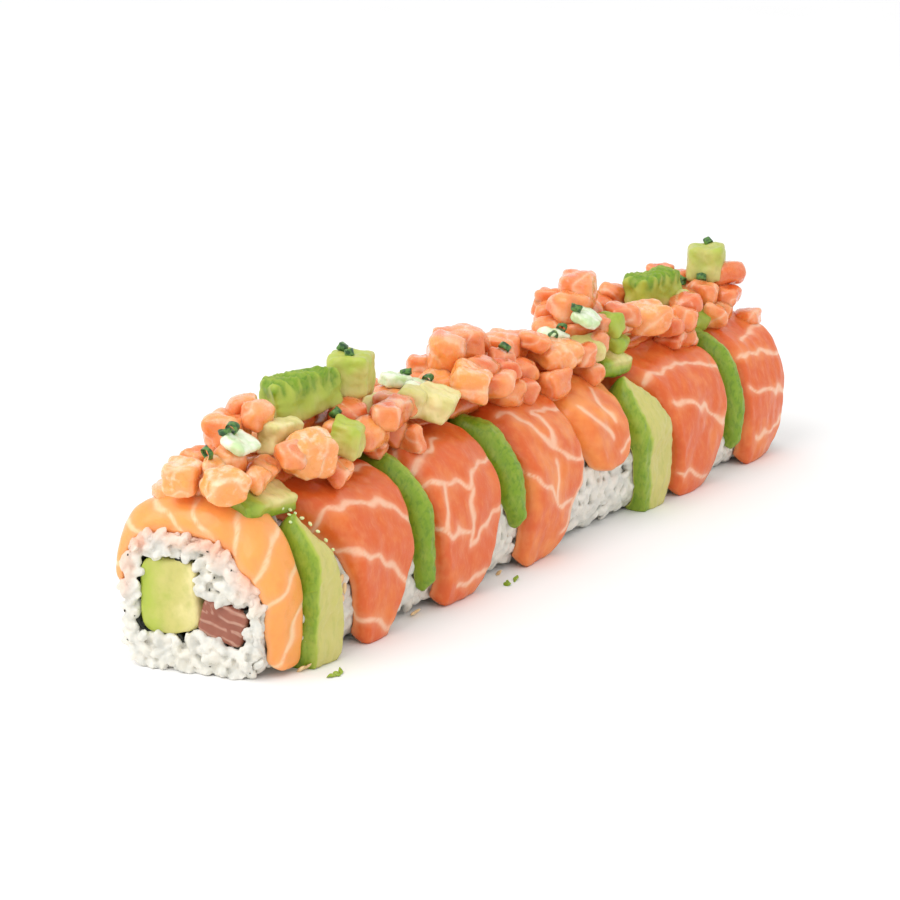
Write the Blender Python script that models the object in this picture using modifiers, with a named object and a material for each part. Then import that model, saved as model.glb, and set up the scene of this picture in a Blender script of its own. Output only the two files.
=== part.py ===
"""Long uramaki roll, cut across into seven pieces that still stand together.

Frame: the roll lies along X with its nearer cut face towards -X, its flat rice
underside on Z = 0 and its middle over the origin. Each cut piece is a ring of
rice, a sheet of nori inside it and two filling strips inside the nori. Salmon
and avocado slices drape over the rice, and a heap of diced toppings lies along
the ridge. All lengths are metres; MM turns millimetres into metres.
"""
import math
import random
from collections import namedtuple

import bmesh
import bpy
from mathutils import Euler, Matrix, Vector

MM = 0.001

# Roll, measured from the nearer cut face along X.
ROLL_LENGTH = 250 * MM
CUTS = [13 * MM, 56.5 * MM, 97 * MM, 136 * MM, 161 * MM, 214 * MM]
KERF = 0.9 * MM
NEAR_FACE_SKEW = math.radians(10)
SKEW_PIVOT_Y = -18 * MM
ORIGIN_X = 121.8 * MM

# Sections, looking along +X: Y is to the left, Z is up.
SECTION_HEIGHT = 16 * MM
FOOT_HEIGHT = 11 * MM
FOOT_FLARE = 3.0 * MM
FOOT_LENGTH = 9 * MM
FOOT_LEAST = 0.35
RICE_WAVE = 0.35 * MM
WAVE_ALONG = 9 * MM
WAVE_FADE = 14 * MM
TOUCH_GAP = 0.4 * MM
NORI_GAP = 0.3 * MM
NORI_THICKNESS = 0.6 * MM
RING_POINTS = 30
BAR_POINTS = 14
RICE_STEP = 15 * MM

# Draped slices.
RIDGE_ANGLE = 100
SLICE_LEAST = 2.2 * MM
SLICE_WAVE = 0.3 * MM
END_SHARE = 0.5
ARC_TIP_SHARE = 0.25

# Toppings.
BED_CLEARANCE = 0.9 * MM
BED_START = 9 * MM
BED_END = 246 * MM
BED_STEP = 11 * MM
SHOULDER_START = 104
SHOULDER_END = 128
SHOULDER_STEPS = 4
SHOULDER_GAP = 0.9 * MM
SHOULDER_RISE = 2.4 * MM
BED_LEFT = 58
BED_RIGHT = 100
BED_BASE = 3.2 * MM
BED_RIM_SHARE = 0.12
BED_END_SHARE = 0.45
BED_END_LENGTH = 12 * MM
BED_COLUMNS = 6
DICE_UNEVEN = 0.14
DICE_ROUNDING = 0.16
REST_GAP = 0.4 * MM
RANDOM_SEED = 11

Outline = namedtuple("Outline", "left right up down upper_left upper_right lower_left lower_right y z")

RICE = Outline(18.5 * MM, 18.0 * MM, 16 * MM, 16.6 * MM, 3.6, 1.5, 5.0, 4.0, 0, SECTION_HEIGHT)
RICE_NEAR = RICE._replace(right=15.5 * MM)
DRAPE = Outline(21.5 * MM, 22.5 * MM, 23.5 * MM, 25 * MM, 3.0, 2.1, 3.0, 2.6, 0, SECTION_HEIGHT)
DRAPE_NEAR = DRAPE._replace(left=23.0 * MM, right=19.5 * MM, upper_left=4.0, upper_right=2.0)
NORI = Outline(15.3 * MM, 15.5 * MM, 11 * MM, 10 * MM, 5.0, 0.85, 4.0, 5.0, 1 * MM, 16.5 * MM)
AVOCADO_CORE = Outline(7.0 * MM, 7.0 * MM, 8.9 * MM, 8.9 * MM, 5, 4, 4, 4, 7.4 * MM, 17.0 * MM)
TUNA_CORE = Outline(5.7 * MM, 5.7 * MM, 4.3 * MM, 4.3 * MM, 4, 4, 4, 4, -6.1 * MM, 12.6 * MM)
TUNA_TILT = math.radians(15)

# Draped slices: front and back edge at the ridge, at mid side and at the lower
# end, then the angles between which the slice lies, in degrees from +Y over +Z.
# The angles are multiples of the 12 degrees between two points of the rice.
Slice = namedtuple("Slice", "name kind front back start end outline")
SLICES = [
    Slice("salmon_slice_1", "salmon", (0.8, 0.8, 2.5), (12.3, 12.4, 12.3), 0, 216, DRAPE_NEAR),
    Slice("avocado_slice_1", "leaf", (13.8, 13.8, 15.0), (18.0, 26.0, 22.0), 132, 216, DRAPE),
    Slice("salmon_slice_2", "salmon", (20.4, 28.0, 29.5), (55.0, 55.0, 44.0), 12, 216, DRAPE),
    Slice("avocado_slice_2", "arc", (57.2, 57.2, 57.4), (65.0, 64.5, 61.0), 84, 204, DRAPE),
    Slice("salmon_slice_3", "salmon", (65.7, 65.2, 66.0), (95.6, 94.6, 82.0), 0, 216, DRAPE),
    Slice("avocado_slice_3", "arc", (97.8, 97.8, 98.0), (106.4, 106.0, 102.0), 84, 192, DRAPE),
    Slice("salmon_slice_4", "salmon", (107.1, 106.8, 104.0), (135.2, 133.4, 120.0), 12, 216, DRAPE),
    Slice("salmon_slice_5", "salmon", (136.8, 137.0, 142.0), (160.2, 160.2, 153.0), 0, 180, DRAPE),
    Slice("avocado_slice_4", "leaf", (161.8, 161.8, 164.0), (166.5, 180.0, 176.0), 132, 216, DRAPE),
    Slice("salmon_slice_6", "salmon", (168.4, 181.0, 183.0), (213.2, 212.2, 202.0), 12, 216, DRAPE),
    Slice("avocado_slice_5", "arc", (214.8, 214.8, 215.0), (223.0, 222.5, 219.0), 84, 204, DRAPE),
    Slice("salmon_slice_7", "salmon", (223.8, 223.3, 223.0), (249.4, 248.2, 240.0), 12, 216, DRAPE),
]

# Crests of the heap along the ridge: where, how tall over the rest and how far spread.
Crest = namedtuple("Crest", "x height spread")
CRESTS = [Crest(20, 3.5, 9), Crest(57, 6.5, 14), Crest(112, 6.5, 13), Crest(170, 8.5, 12),
          Crest(208, 2.0, 12), Crest(240, 4.5, 10)]

# Toppings: x, y, then length, width and height, then tilt about X and spin about Z.
Chunk = namedtuple("Chunk", "name kind x y size tilt spin")
CHUNKS = [
    Chunk("salmon_dice_1", "salmon", 0.6, 6.0, (8, 8.5, 7), 4, 20),
    Chunk("salmon_dice_2", "salmon", 0.8, -5.4, (10, 9, 6.5), 12, -25),
    Chunk("salmon_dice_3", "salmon", 17.8, 6.8, (11, 9, 8), 0, 15),
    Chunk("avocado_chunk_2", "avocado", 27.0, -1.9, (12.5, 5.5, 7), 6, 2),
    Chunk("salmon_dice_4", "salmon", 27.5, -9.8, (12.5, 8.5, 9.5), 20, -14),
    Chunk("avocado_chunk_1", "avocado", 43.0, 4.9, (20, 9, 10), 0, -8),
    Chunk("avocado_chunk_3", "avocado", 43.5, -9.3, (8.5, 8.5, 8.5), 14, 25),
    Chunk("avocado_chunk_4", "avocado", 61.5, 2.5, (12, 11, 11), 0, 30),
    Chunk("avocado_chunk_5", "avocado", 84.0, -7.5, (13, 9, 8), 18, 24),
    Chunk("salmon_dice_5", "salmon", 99.5, -7.2, (11, 10, 8), 18, 30),
    Chunk("salmon_dice_6", "salmon", 112.0, 4.0, (11, 11, 8), 0, -20),
    Chunk("salmon_dice_7", "salmon", 133.5, 4.3, (12, 10, 7), 0, 12),
    Chunk("salmon_dice_8", "salmon", 143.5, -5.6, (13, 10, 7), 12, -18),
    Chunk("salmon_dice_9", "salmon", 170.5, 4.0, (12, 10, 10), 0, 22),
    Chunk("salmon_dice_10", "salmon", 191.0, -5.8, (13, 10, 8), 14, -22),
    Chunk("avocado_chunk_6", "avocado", 213.0, 4.5, (19, 9, 9), 0, -10),
    Chunk("avocado_chunk_7", "avocado", 239.5, 2.0, (12, 11, 11), 0, 28),
]
SHOULDERS = [("avocado_shoulder_1", 12.9, 19.8), ("avocado_shoulder_2", 161.4, 167.8)]

COLOURS = {
    "rice": (0.83, 0.82, 0.78), "nori": (0.012, 0.014, 0.010), "tuna": (0.42, 0.12, 0.09),
    "salmon": (0.90, 0.25, 0.08), "avocado": (0.42, 0.55, 0.12), "bed": (0.86, 0.30, 0.12),
}


def clear_scene():
    """Start from an empty scene."""
    for item in list(bpy.data.objects):
        bpy.data.objects.remove(item, do_unlink=True)


def food_material(name):
    """One Principled material for each kind of food."""
    if name in bpy.data.materials:
        return bpy.data.materials[name]
    made = bpy.data.materials.new(name)
    made.use_nodes = True
    shader = made.node_tree.nodes["Principled BSDF"]
    shader.inputs["Base Color"].default_value = (*COLOURS[name], 1)
    shader.inputs["Roughness"].default_value = 0.45
    shader.inputs["Metallic"].default_value = 0.0
    made.diffuse_color = (*COLOURS[name], 1)
    return made


def outline_reach(outline, angle):
    """Distance from the outline's centre to its edge at an angle from +Y over +Z."""
    across, rise = math.cos(angle), math.sin(angle)
    width = outline.left if across >= 0 else outline.right
    height = outline.up if rise >= 0 else outline.down
    if rise >= 0:
        power = outline.upper_left if across >= 0 else outline.upper_right
    else:
        power = outline.lower_left if across >= 0 else outline.lower_right
    total = (abs(across) / width) ** power + (abs(rise) / height) ** power
    return total ** (-1 / power)


def outline_point(outline, angle, x, inset=0.0):
    """Point on an outline, moved inwards by inset."""
    reach = outline_reach(outline, angle) - inset
    return Vector((x, outline.y + reach * math.cos(angle), outline.z + reach * math.sin(angle)))


def turn_angles(count):
    """Evenly spaced angles round a section."""
    return [2 * math.pi * index / count for index in range(count)]


def skewed_x(x, y):
    """The nearer cut face is not square: its left side stands forward."""
    forward = (y - SKEW_PIVOT_Y) * math.tan(NEAR_FACE_SKEW)
    fade = max(0.0, 1 - x / CUTS[0])
    return x - forward * fade


def rice_point(x, angle, lift=0.0):
    """Outside of the rice at a station, lifted outwards by lift."""
    outline = RICE_NEAR if x < CUTS[0] else RICE
    wave = RICE_WAVE * math.sin(3 * angle + x / WAVE_ALONG) * math.sin(x / WAVE_FADE + 1.3)
    reach = outline_reach(outline, angle) + wave + lift
    y = outline.y + reach * math.cos(angle)
    z = outline.z + reach * math.sin(angle)
    near = max(0.0, 1 - x / FOOT_LENGTH) ** 2
    if y < 0 and z < FOOT_HEIGHT:
        toe = FOOT_LEAST + (1 - FOOT_LEAST) * near
        y -= FOOT_FLARE * toe * (1 - z / FOOT_HEIGHT) ** 2
    return Vector((skewed_x(x, y), y, max(z, 0.0)))


def add_object(name, mesh, material_name, collection):
    """Make a smooth-shaded object centred on the part's origin."""
    made = bpy.data.objects.new(name, mesh)
    collection.objects.link(made)
    mesh.materials.append(food_material(material_name))
    mesh.shade_smooth()
    mesh.set_sharp_from_angle(angle=math.radians(40))
    return made


def loft(name, rings, material_name, collection, closed_path=False):
    """Skin a row of rings with equal point counts, as a bar or as a closed ring."""
    sheet = bmesh.new()
    rows = [[sheet.verts.new(point - Vector((ORIGIN_X, 0, 0))) for point in ring] for ring in rings]
    pairs = list(zip(rows, rows[1:]))
    if closed_path:
        pairs.append((rows[-1], rows[0]))
    for lower, upper in pairs:
        for index in range(len(lower)):
            after = (index + 1) % len(lower)
            sheet.faces.new((lower[index], lower[after], upper[after], upper[index]))
    if not closed_path:
        sheet.faces.new(list(reversed(rows[0])))
        sheet.faces.new(rows[-1])
    bmesh.ops.recalc_face_normals(sheet, faces=sheet.faces)
    if sheet.calc_volume(signed=True) < 0:
        bmesh.ops.reverse_faces(sheet, faces=sheet.faces)
    mesh = bpy.data.meshes.new(name)
    sheet.to_mesh(mesh)
    sheet.free()
    return add_object(name, mesh, material_name, collection)


def piece_ends():
    """Front and back X of each cut piece, with a kerf between neighbours."""
    edges = [0.0] + CUTS + [ROLL_LENGTH]
    spans = []
    for index, (front, back) in enumerate(zip(edges, edges[1:])):
        front += KERF / 2 if index else 0.0
        back -= KERF / 2 if index < len(CUTS) else 0.0
        spans.append((front, back))
    return spans


def stations(front, back, step):
    """Evenly spaced X values, both ends included."""
    count = max(1, round((back - front) / step))
    return [front + (back - front) * index / count for index in range(count + 1)]


def slanted(point):
    """Give a core's point the slant of the nearer cut face."""
    return Vector((skewed_x(point.x, point.y), point.y, point.z))


def make_rice(index, front, back, collection):
    """A ring of rice round the nori."""
    angles = turn_angles(RING_POINTS)
    outer = [[rice_point(x, angle) for angle in angles] for x in stations(front, back, RICE_STEP)]
    inner = [[slanted(outline_point(NORI, angle, x)) for angle in angles] for x in (back, front)]
    return loft(f"rice_{index}", outer + inner, "rice", collection, closed_path=True)


def make_nori(index, front, back, collection):
    """The sheet of nori, as a thin-walled tube."""
    angles = turn_angles(RING_POINTS)
    near_out, far_out, far_in, near_in = (
        [slanted(outline_point(NORI, angle, x, inset)) for angle in angles]
        for x, inset in ((front, NORI_GAP), (back, NORI_GAP),
                         (back, NORI_GAP + NORI_THICKNESS), (front, NORI_GAP + NORI_THICKNESS)))
    return loft(f"nori_{index}", [near_out, far_out, far_in, near_in], "nori", collection, closed_path=True)


def make_avocado_core(index, front, back, collection):
    """The strip of avocado inside the nori."""
    angles = turn_angles(BAR_POINTS)
    rings = [[slanted(outline_point(AVOCADO_CORE, angle, x)) for angle in angles] for x in (front, back)]
    return loft(f"avocado_core_{index}", rings, "avocado", collection)


def make_tuna_core(index, front, back, collection):
    """The strip of tuna beside it, tilted in the section."""
    centre = Vector((0, TUNA_CORE.y, TUNA_CORE.z))
    turn = Matrix.Rotation(TUNA_TILT, 3, "X")
    rings = []
    for x in (front, back):
        ring = []
        for angle in turn_angles(BAR_POINTS):
            point = outline_point(TUNA_CORE, angle, x)
            turned = turn @ (point - centre - Vector((x, 0, 0))) + centre + Vector((x, 0, 0))
            ring.append(slanted(turned))
        rings.append(ring)
    return loft(f"tuna_core_{index}", rings, "tuna", collection)


def blend_three(values, share):
    """Smooth curve through a value at the start, the middle and the end."""
    first, middle, last = values
    return (first * (1 - share) * (1 - 2 * share) + middle * 4 * share * (1 - share)
            + last * share * (2 * share - 1))


def edge_position(values, angle, end):
    """X of a slice's edge: level over the ridge, then down the side to its end."""
    ridge = math.radians(RIDGE_ANGLE)
    share = min(1.0, max(0.0, (angle - ridge) / (end - ridge)))
    return blend_three(values, share) * MM


def slice_thickness(cut, x, angle, share):
    """Radial thickness of a slice, thinner towards its two ends."""
    rice_reach = outline_reach(RICE_NEAR if x < CUTS[0] else RICE, angle)
    full = outline_reach(cut.outline, angle) - rice_reach - TOUCH_GAP
    full = max(full, SLICE_LEAST)
    taper = min(1.0, END_SHARE + 4.2 * min(share, 1 - share) ** 0.6)
    if cut.kind == "arc":
        taper = min(1.0, ARC_TIP_SHARE + 2.2 * math.sin(math.pi * share) ** 0.8)
    return full * taper + SLICE_WAVE * math.sin(5 * angle + x / (25 * MM))


def slice_ring(cut, angle, share, end):
    """Closed section of a slice, across the roll's length, at one angle."""
    front = edge_position(cut.front, angle, end)
    back = edge_position(cut.back, angle, end)
    profile = [(0.0, 0.0), (0.5, 0.0), (1.0, 0.0), (1.0, 0.55), (0.9, 0.93), (0.5, 1.0),
               (0.1, 0.93), (0.0, 0.55)]
    ring = []
    for along, height in profile:
        x = front + (back - front) * along
        thickness = slice_thickness(cut, x, angle, share)
        point = rice_point(x, angle, TOUCH_GAP + thickness * height)
        ring.append(point)
    return ring


def make_slice(cut, collection):
    """A slice of salmon or avocado draped over the rice."""
    start, end = math.radians(cut.start), math.radians(cut.end)
    steps = round((cut.end - cut.start) * RING_POINTS / 360)
    rings = []
    for index in range(steps + 1):
        share = index / steps
        rings.append(slice_ring(cut, start + (end - start) * share, share, end))
    material_name = "salmon" if cut.kind == "salmon" else "avocado"
    return loft(cut.name, rings, material_name, collection)


def drape_height(y):
    """Top of the draped slices over a given Y."""
    low, high = math.radians(20), math.radians(170)
    for _ in range(24):
        middle = (low + high) / 2
        if outline_point(DRAPE, middle, 0).y > y:
            low = middle
        else:
            high = middle
    return outline_point(DRAPE, low, 0).z


def bed_rise(x, angle):
    """Height of the heap of small toppings above the slices."""
    along = BED_BASE
    for crest in CRESTS:
        along += crest.height * MM * math.exp(-((x / MM - crest.x) / crest.spread) ** 2)
    across = math.sin(math.pi * (math.degrees(angle) - BED_LEFT) / (BED_RIGHT - BED_LEFT))
    from_end = min(x - BED_START, BED_END - x)
    ends = min(1.0, BED_END_SHARE + from_end / BED_END_LENGTH)
    return along * max(BED_RIM_SHARE, across) * ends


def make_bed(collection):
    """The heap of small diced toppings along the ridge, out to its uneven outline."""
    left, right = math.radians(BED_LEFT), math.radians(BED_RIGHT)
    angles = [left + (right - left) * index / BED_COLUMNS for index in range(BED_COLUMNS + 1)]
    rings = []
    for x in stations(BED_START, BED_END, BED_STEP):
        under = [outline_point(DRAPE, angle, x, -BED_CLEARANCE) for angle in angles]
        over = [outline_point(DRAPE, angle, x, -BED_CLEARANCE - bed_rise(x, angle)) for angle in angles]
        rings.append([slanted(point) for point in under + over[::-1]])
    return loft("topping_bed", rings, "bed", collection)


def support_height(x, y):
    """Top of whatever lies at a place along the ridge."""
    low, high = math.radians(BED_LEFT), math.radians(BED_RIGHT)
    rise = drape_height(y) + BED_CLEARANCE
    if BED_START - 3 * MM < x < BED_END + 3 * MM:
        for index in range(51):
            angle = low + (high - low) * index / 50
            point = outline_point(DRAPE, angle, x, -BED_CLEARANCE - bed_rise(x, angle))
            if abs(point.y - y) < 0.7 * MM:
                rise = max(rise, point.z)
    return rise


def rest_height(chunk, turn):
    """Lowest height of the chunk's centre that keeps it clear of what lies under it."""
    length, width, height = (value * MM for value in chunk.size)
    best = 0.0
    for i in range(7):
        for j in range(7):
            corner = turn @ Vector(((i / 6 - 0.5) * length, (j / 6 - 0.5) * width, -height / 2))
            under = support_height(chunk.x * MM + corner.x, chunk.y * MM + corner.y)
            best = max(best, under + REST_GAP - corner.z)
    return best


def make_chunk(chunk, dice, collection):
    """One diced piece: an uneven block with worn edges."""
    sheet = bmesh.new()
    bmesh.ops.create_cube(sheet, size=1)
    for vertex in sheet.verts:
        for axis in range(3):
            shrink = 1 - DICE_UNEVEN * dice.random()
            vertex.co[axis] *= chunk.size[axis] * MM * shrink
    mesh = bpy.data.meshes.new(chunk.name)
    sheet.to_mesh(mesh)
    sheet.free()
    made = add_object(chunk.name, mesh, chunk.kind, collection)
    turn = Euler((math.radians(chunk.tilt), 0, math.radians(chunk.spin))).to_matrix()
    place = Vector((chunk.x * MM - ORIGIN_X, chunk.y * MM, rest_height(chunk, turn)))
    made.matrix_world = Matrix.Translation(place) @ turn.to_4x4()
    rounding = made.modifiers.new("worn edges", "BEVEL")
    rounding.width = min(chunk.size) * DICE_ROUNDING * MM
    rounding.segments = 2
    return made


def make_shoulder(name, front, back, collection):
    """A thick piece of avocado wedged between two slices of salmon, beside the heap."""
    rings = []
    for step in range(SHOULDER_STEPS + 1):
        share = step / SHOULDER_STEPS
        angle = math.radians(SHOULDER_START + (SHOULDER_END - SHOULDER_START) * share)
        floor = outline_reach(RICE, angle) + SHOULDER_GAP
        crown = math.sin(math.pi * (0.15 + 0.7 * share))
        high = outline_reach(DRAPE, angle) + SHOULDER_RISE * crown - floor
        ring = []
        for along, rise in ((0, 0), (1, 0), (1, 0.8), (0.8, 1), (0.2, 1), (0, 0.8)):
            x = (front + (back - front) * along) * MM
            reach = floor + high * rise
            ring.append(Vector((x, reach * math.cos(angle), RICE.z + reach * math.sin(angle))))
        rings.append(ring)
    return loft(name, rings, "avocado", collection)


def build():
    """Make every piece."""
    clear_scene()
    collection = bpy.data.collections.new("uramaki_roll")
    bpy.context.scene.collection.children.link(collection)
    for index, (front, back) in enumerate(piece_ends(), 1):
        make_rice(index, front, back, collection)
        make_nori(index, front, back, collection)
        make_avocado_core(index, front, back, collection)
        make_tuna_core(index, front, back, collection)
    for cut in SLICES:
        make_slice(cut, collection)
    for name, front, back in SHOULDERS:
        make_shoulder(name, front, back, collection)
    make_bed(collection)
    dice = random.Random(RANDOM_SEED)
    for chunk in CHUNKS:
        make_chunk(chunk, dice, collection)


build()
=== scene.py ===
"""Looks of a long uramaki roll: sticky rice, draped salmon and avocado, and a heap of dice.

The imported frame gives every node's place. The shapes below repeat the roll's own
sections in millimetres, measured along X from the nearer cut face, with Y to the
left and Z up, and are turned into metres when a mesh is made.
"""
import math
from collections import namedtuple

import bpy
import numpy as np
from mathutils import Euler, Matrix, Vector


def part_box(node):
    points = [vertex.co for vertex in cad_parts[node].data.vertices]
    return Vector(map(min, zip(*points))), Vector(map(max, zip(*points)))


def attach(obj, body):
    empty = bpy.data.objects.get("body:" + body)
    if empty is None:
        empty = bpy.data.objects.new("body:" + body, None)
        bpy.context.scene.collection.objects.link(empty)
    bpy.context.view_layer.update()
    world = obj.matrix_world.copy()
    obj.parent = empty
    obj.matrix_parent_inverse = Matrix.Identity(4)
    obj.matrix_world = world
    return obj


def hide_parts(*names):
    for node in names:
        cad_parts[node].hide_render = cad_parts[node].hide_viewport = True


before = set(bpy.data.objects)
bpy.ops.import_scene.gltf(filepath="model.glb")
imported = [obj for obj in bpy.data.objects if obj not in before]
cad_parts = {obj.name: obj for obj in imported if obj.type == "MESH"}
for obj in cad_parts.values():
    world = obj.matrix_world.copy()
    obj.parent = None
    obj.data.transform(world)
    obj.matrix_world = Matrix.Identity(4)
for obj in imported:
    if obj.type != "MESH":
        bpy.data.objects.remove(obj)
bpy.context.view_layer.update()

bl_info = {
    "name": "Uramaki Roll",
    "version": (1, 0, 0),
    "blender": (4, 5, 0),
    "location": "View3D > Sidebar > Uramaki",
    "description": "Rice, salmon, avocado and diced toppings of a long uramaki roll",
    "category": "Object",
}

MM = 0.001

# The roll and its cuts, in mm from the nearer cut face. That face is skewed, the rice waves
# a little, and its near side spreads into a foot, most at the front.
ROLL_LENGTH = 250.0
CUTS = [13.0, 56.5, 97.0, 136.0, 161.0, 214.0]
KERF = 0.9
NEAR_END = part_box("rice_7")[1].x - ROLL_LENGTH * MM
NEAR_FACE_SKEW = math.radians(10)
SKEW_PIVOT_Y = -18.0
FOOT_HEIGHT = 11.0
FOOT_FLARE = 3.0
FOOT_FLARE_REST = 0.35
FOOT_LENGTH = 9.0
RICE_WAVE = 0.35

# What lies on the rice: its gap to the rice and to the ground, the angle down to which a
# slice runs straight over the ridge, its middle distance from the rice's centre, the end
# angle in degrees from which it reaches the ground, and a distance that stands for no fat
# line near.
TOUCH_GAP = 0.4
GROUND_GAP = 0.03
RIDGE_ANGLE = math.radians(100)
SLICE_REACH = 21.5
LOW_END = 204
NO_SEAM = 9.0

# The loose grains: how far apart they lie, in mm.
NEAR_FACE_SPACING = 2.25
FAR_FACE_SPACING = 2.4
SIDE_SPACING = 2.3

# The nori: how far its two faces lie inside its outline, and how far back from each cut.
NORI_OUTSIDE = -0.25
NORI_INSIDE = -0.7
NORI_SET_BACK = 0.5

# The heap along the ridge: its sides as angles, its two ends, how high it is filled up, and
# how many small dice are dropped on it.
BED_LEFT = 58
BED_RIGHT = 100
BED_START = 9.0
BED_END = 246.0
BED_TOP = 43.8
DICE_DROPPED = 480

# Outlines of a section: how far it reaches from its middle to each side, up and down, how
# square each quarter is (2 is round, 1 is slanted), and where its middle is.
Outline = namedtuple("Outline", "left right up down upper_left upper_right lower_left lower_right y z")
RICE = Outline(18.5, 18.0, 16.0, 16.6, 3.6, 1.5, 5.0, 4.0, 0.0, 16.0)
RICE_NEAR = RICE._replace(right=15.5)
DRAPE = Outline(21.5, 22.5, 23.5, 25.0, 3.0, 2.1, 3.0, 2.6, 0.0, 16.0)
DRAPE_NEAR = DRAPE._replace(left=23.0, right=19.5, upper_left=4.0, upper_right=2.0)
NORI = Outline(15.3, 15.5, 11.0, 10.0, 5.0, 0.85, 4.0, 5.0, 1.0, 16.5)
AVOCADO_CORE = Outline(7.0, 7.0, 8.9, 8.9, 6.0, 7.0, 5.0, 6.0, 7.4, 17.0)
TUNA_CORE = Outline(5.7, 5.7, 4.5, 4.5, 7.0, 7.0, 7.0, 7.0, -6.1, 12.6)
TUNA_TILT = math.radians(15)

# Draped slices: front and back edge at the ridge, mid side and lower end, then the angles
# from +Y over +Z between which the slice lies, the outline it reaches out to, and how coral
# (1) or orange (0) its flesh is.
Slice = namedtuple("Slice", "name kind front back start end outline tone", defaults=(0.0,))
SLICES = [
    Slice("salmon_slice_1", "salmon", (0.8, 0.8, 2.5), (12.3, 12.4, 12.3), 0, 216, DRAPE_NEAR, 0.0),
    Slice("avocado_slice_1", "leaf", (13.8, 13.8, 15.0), (18.0, 26.0, 22.0), 132, 216, DRAPE),
    Slice("salmon_slice_2", "salmon", (20.4, 29.2, 33.0), (55.0, 55.0, 44.0), 12, 216, DRAPE, 0.9),
    Slice("avocado_slice_2", "arc", (57.2, 57.2, 57.4), (65.0, 64.5, 61.0), 84, 204, DRAPE),
    Slice("salmon_slice_3", "salmon", (65.7, 65.2, 66.0), (95.6, 94.6, 82.0), 0, 216, DRAPE, 0.9),
    Slice("avocado_slice_3", "arc", (97.8, 97.8, 98.0), (106.4, 106.0, 102.0), 84, 192, DRAPE),
    Slice("salmon_slice_4", "salmon", (107.1, 106.8, 104.0), (135.2, 133.4, 120.0), 12, 216, DRAPE, 0.75),
    Slice("salmon_slice_5", "salmon", (136.8, 137.0, 142.0), (160.2, 160.2, 153.0), 0, 180, DRAPE, 0.5),
    Slice("avocado_slice_4", "leaf", (161.8, 161.8, 164.0), (166.5, 180.0, 176.0), 132, 216, DRAPE),
    Slice("salmon_slice_6", "salmon", (168.4, 181.0, 183.0), (213.2, 212.2, 202.0), 12, 216, DRAPE, 0.9),
    Slice("avocado_slice_5", "arc", (214.8, 214.8, 215.0), (223.0, 222.5, 219.0), 84, 204, DRAPE),
    Slice("salmon_slice_7", "salmon", (223.8, 223.3, 223.0), (249.4, 248.2, 240.0), 12, 216, DRAPE, 0.85),
]

# Leaf-shaped slices: (angle, x) along the front edge, then along the back edge.
LEAF_EDGES = {
    "avocado_slice_1": ([(122, 13.6), (128, 12.8), (139, 12.5), (182, 12.6), (205, 12.2), (232, 11.8)],
                        [(122, 17.5), (128, 19.4), (149, 22.4), (168, 23.6), (184, 24.4), (203, 24.8),
                         (232, 22.5)]),
    "avocado_slice_4": ([(118, 164.5), (126, 162.6), (139, 162.0), (164, 162.0), (202, 163.5), (232, 166.0)],
                        [(118, 170.0), (126, 172.2), (146, 177.0), (169, 180.5), (191, 181.0), (211, 179.0),
                         (232, 176.0)]),
}

# Short thick pieces wedged beside the heap: name, x, y, z, size, tilt and spin.
SHOULDERS = [
    ("avocado_shoulder_1", 12.2, -7.6, 38.0, (16.5, 8.5, 5.0), 20, -8),
    ("avocado_shoulder_2", 168.0, -7.5, 39.6, (14.0, 8.5, 5.0), 20, -4),
]

# Crests of the heap along the ridge: where, how tall over the rest and how far spread.
CRESTS = [(20.0, 3.5, 9.0), (57.0, 6.5, 14.0), (112.0, 6.5, 13.0), (170.0, 8.5, 12.0),
          (208.0, 2.0, 12.0), (240.0, 4.5, 10.0)]

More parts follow.
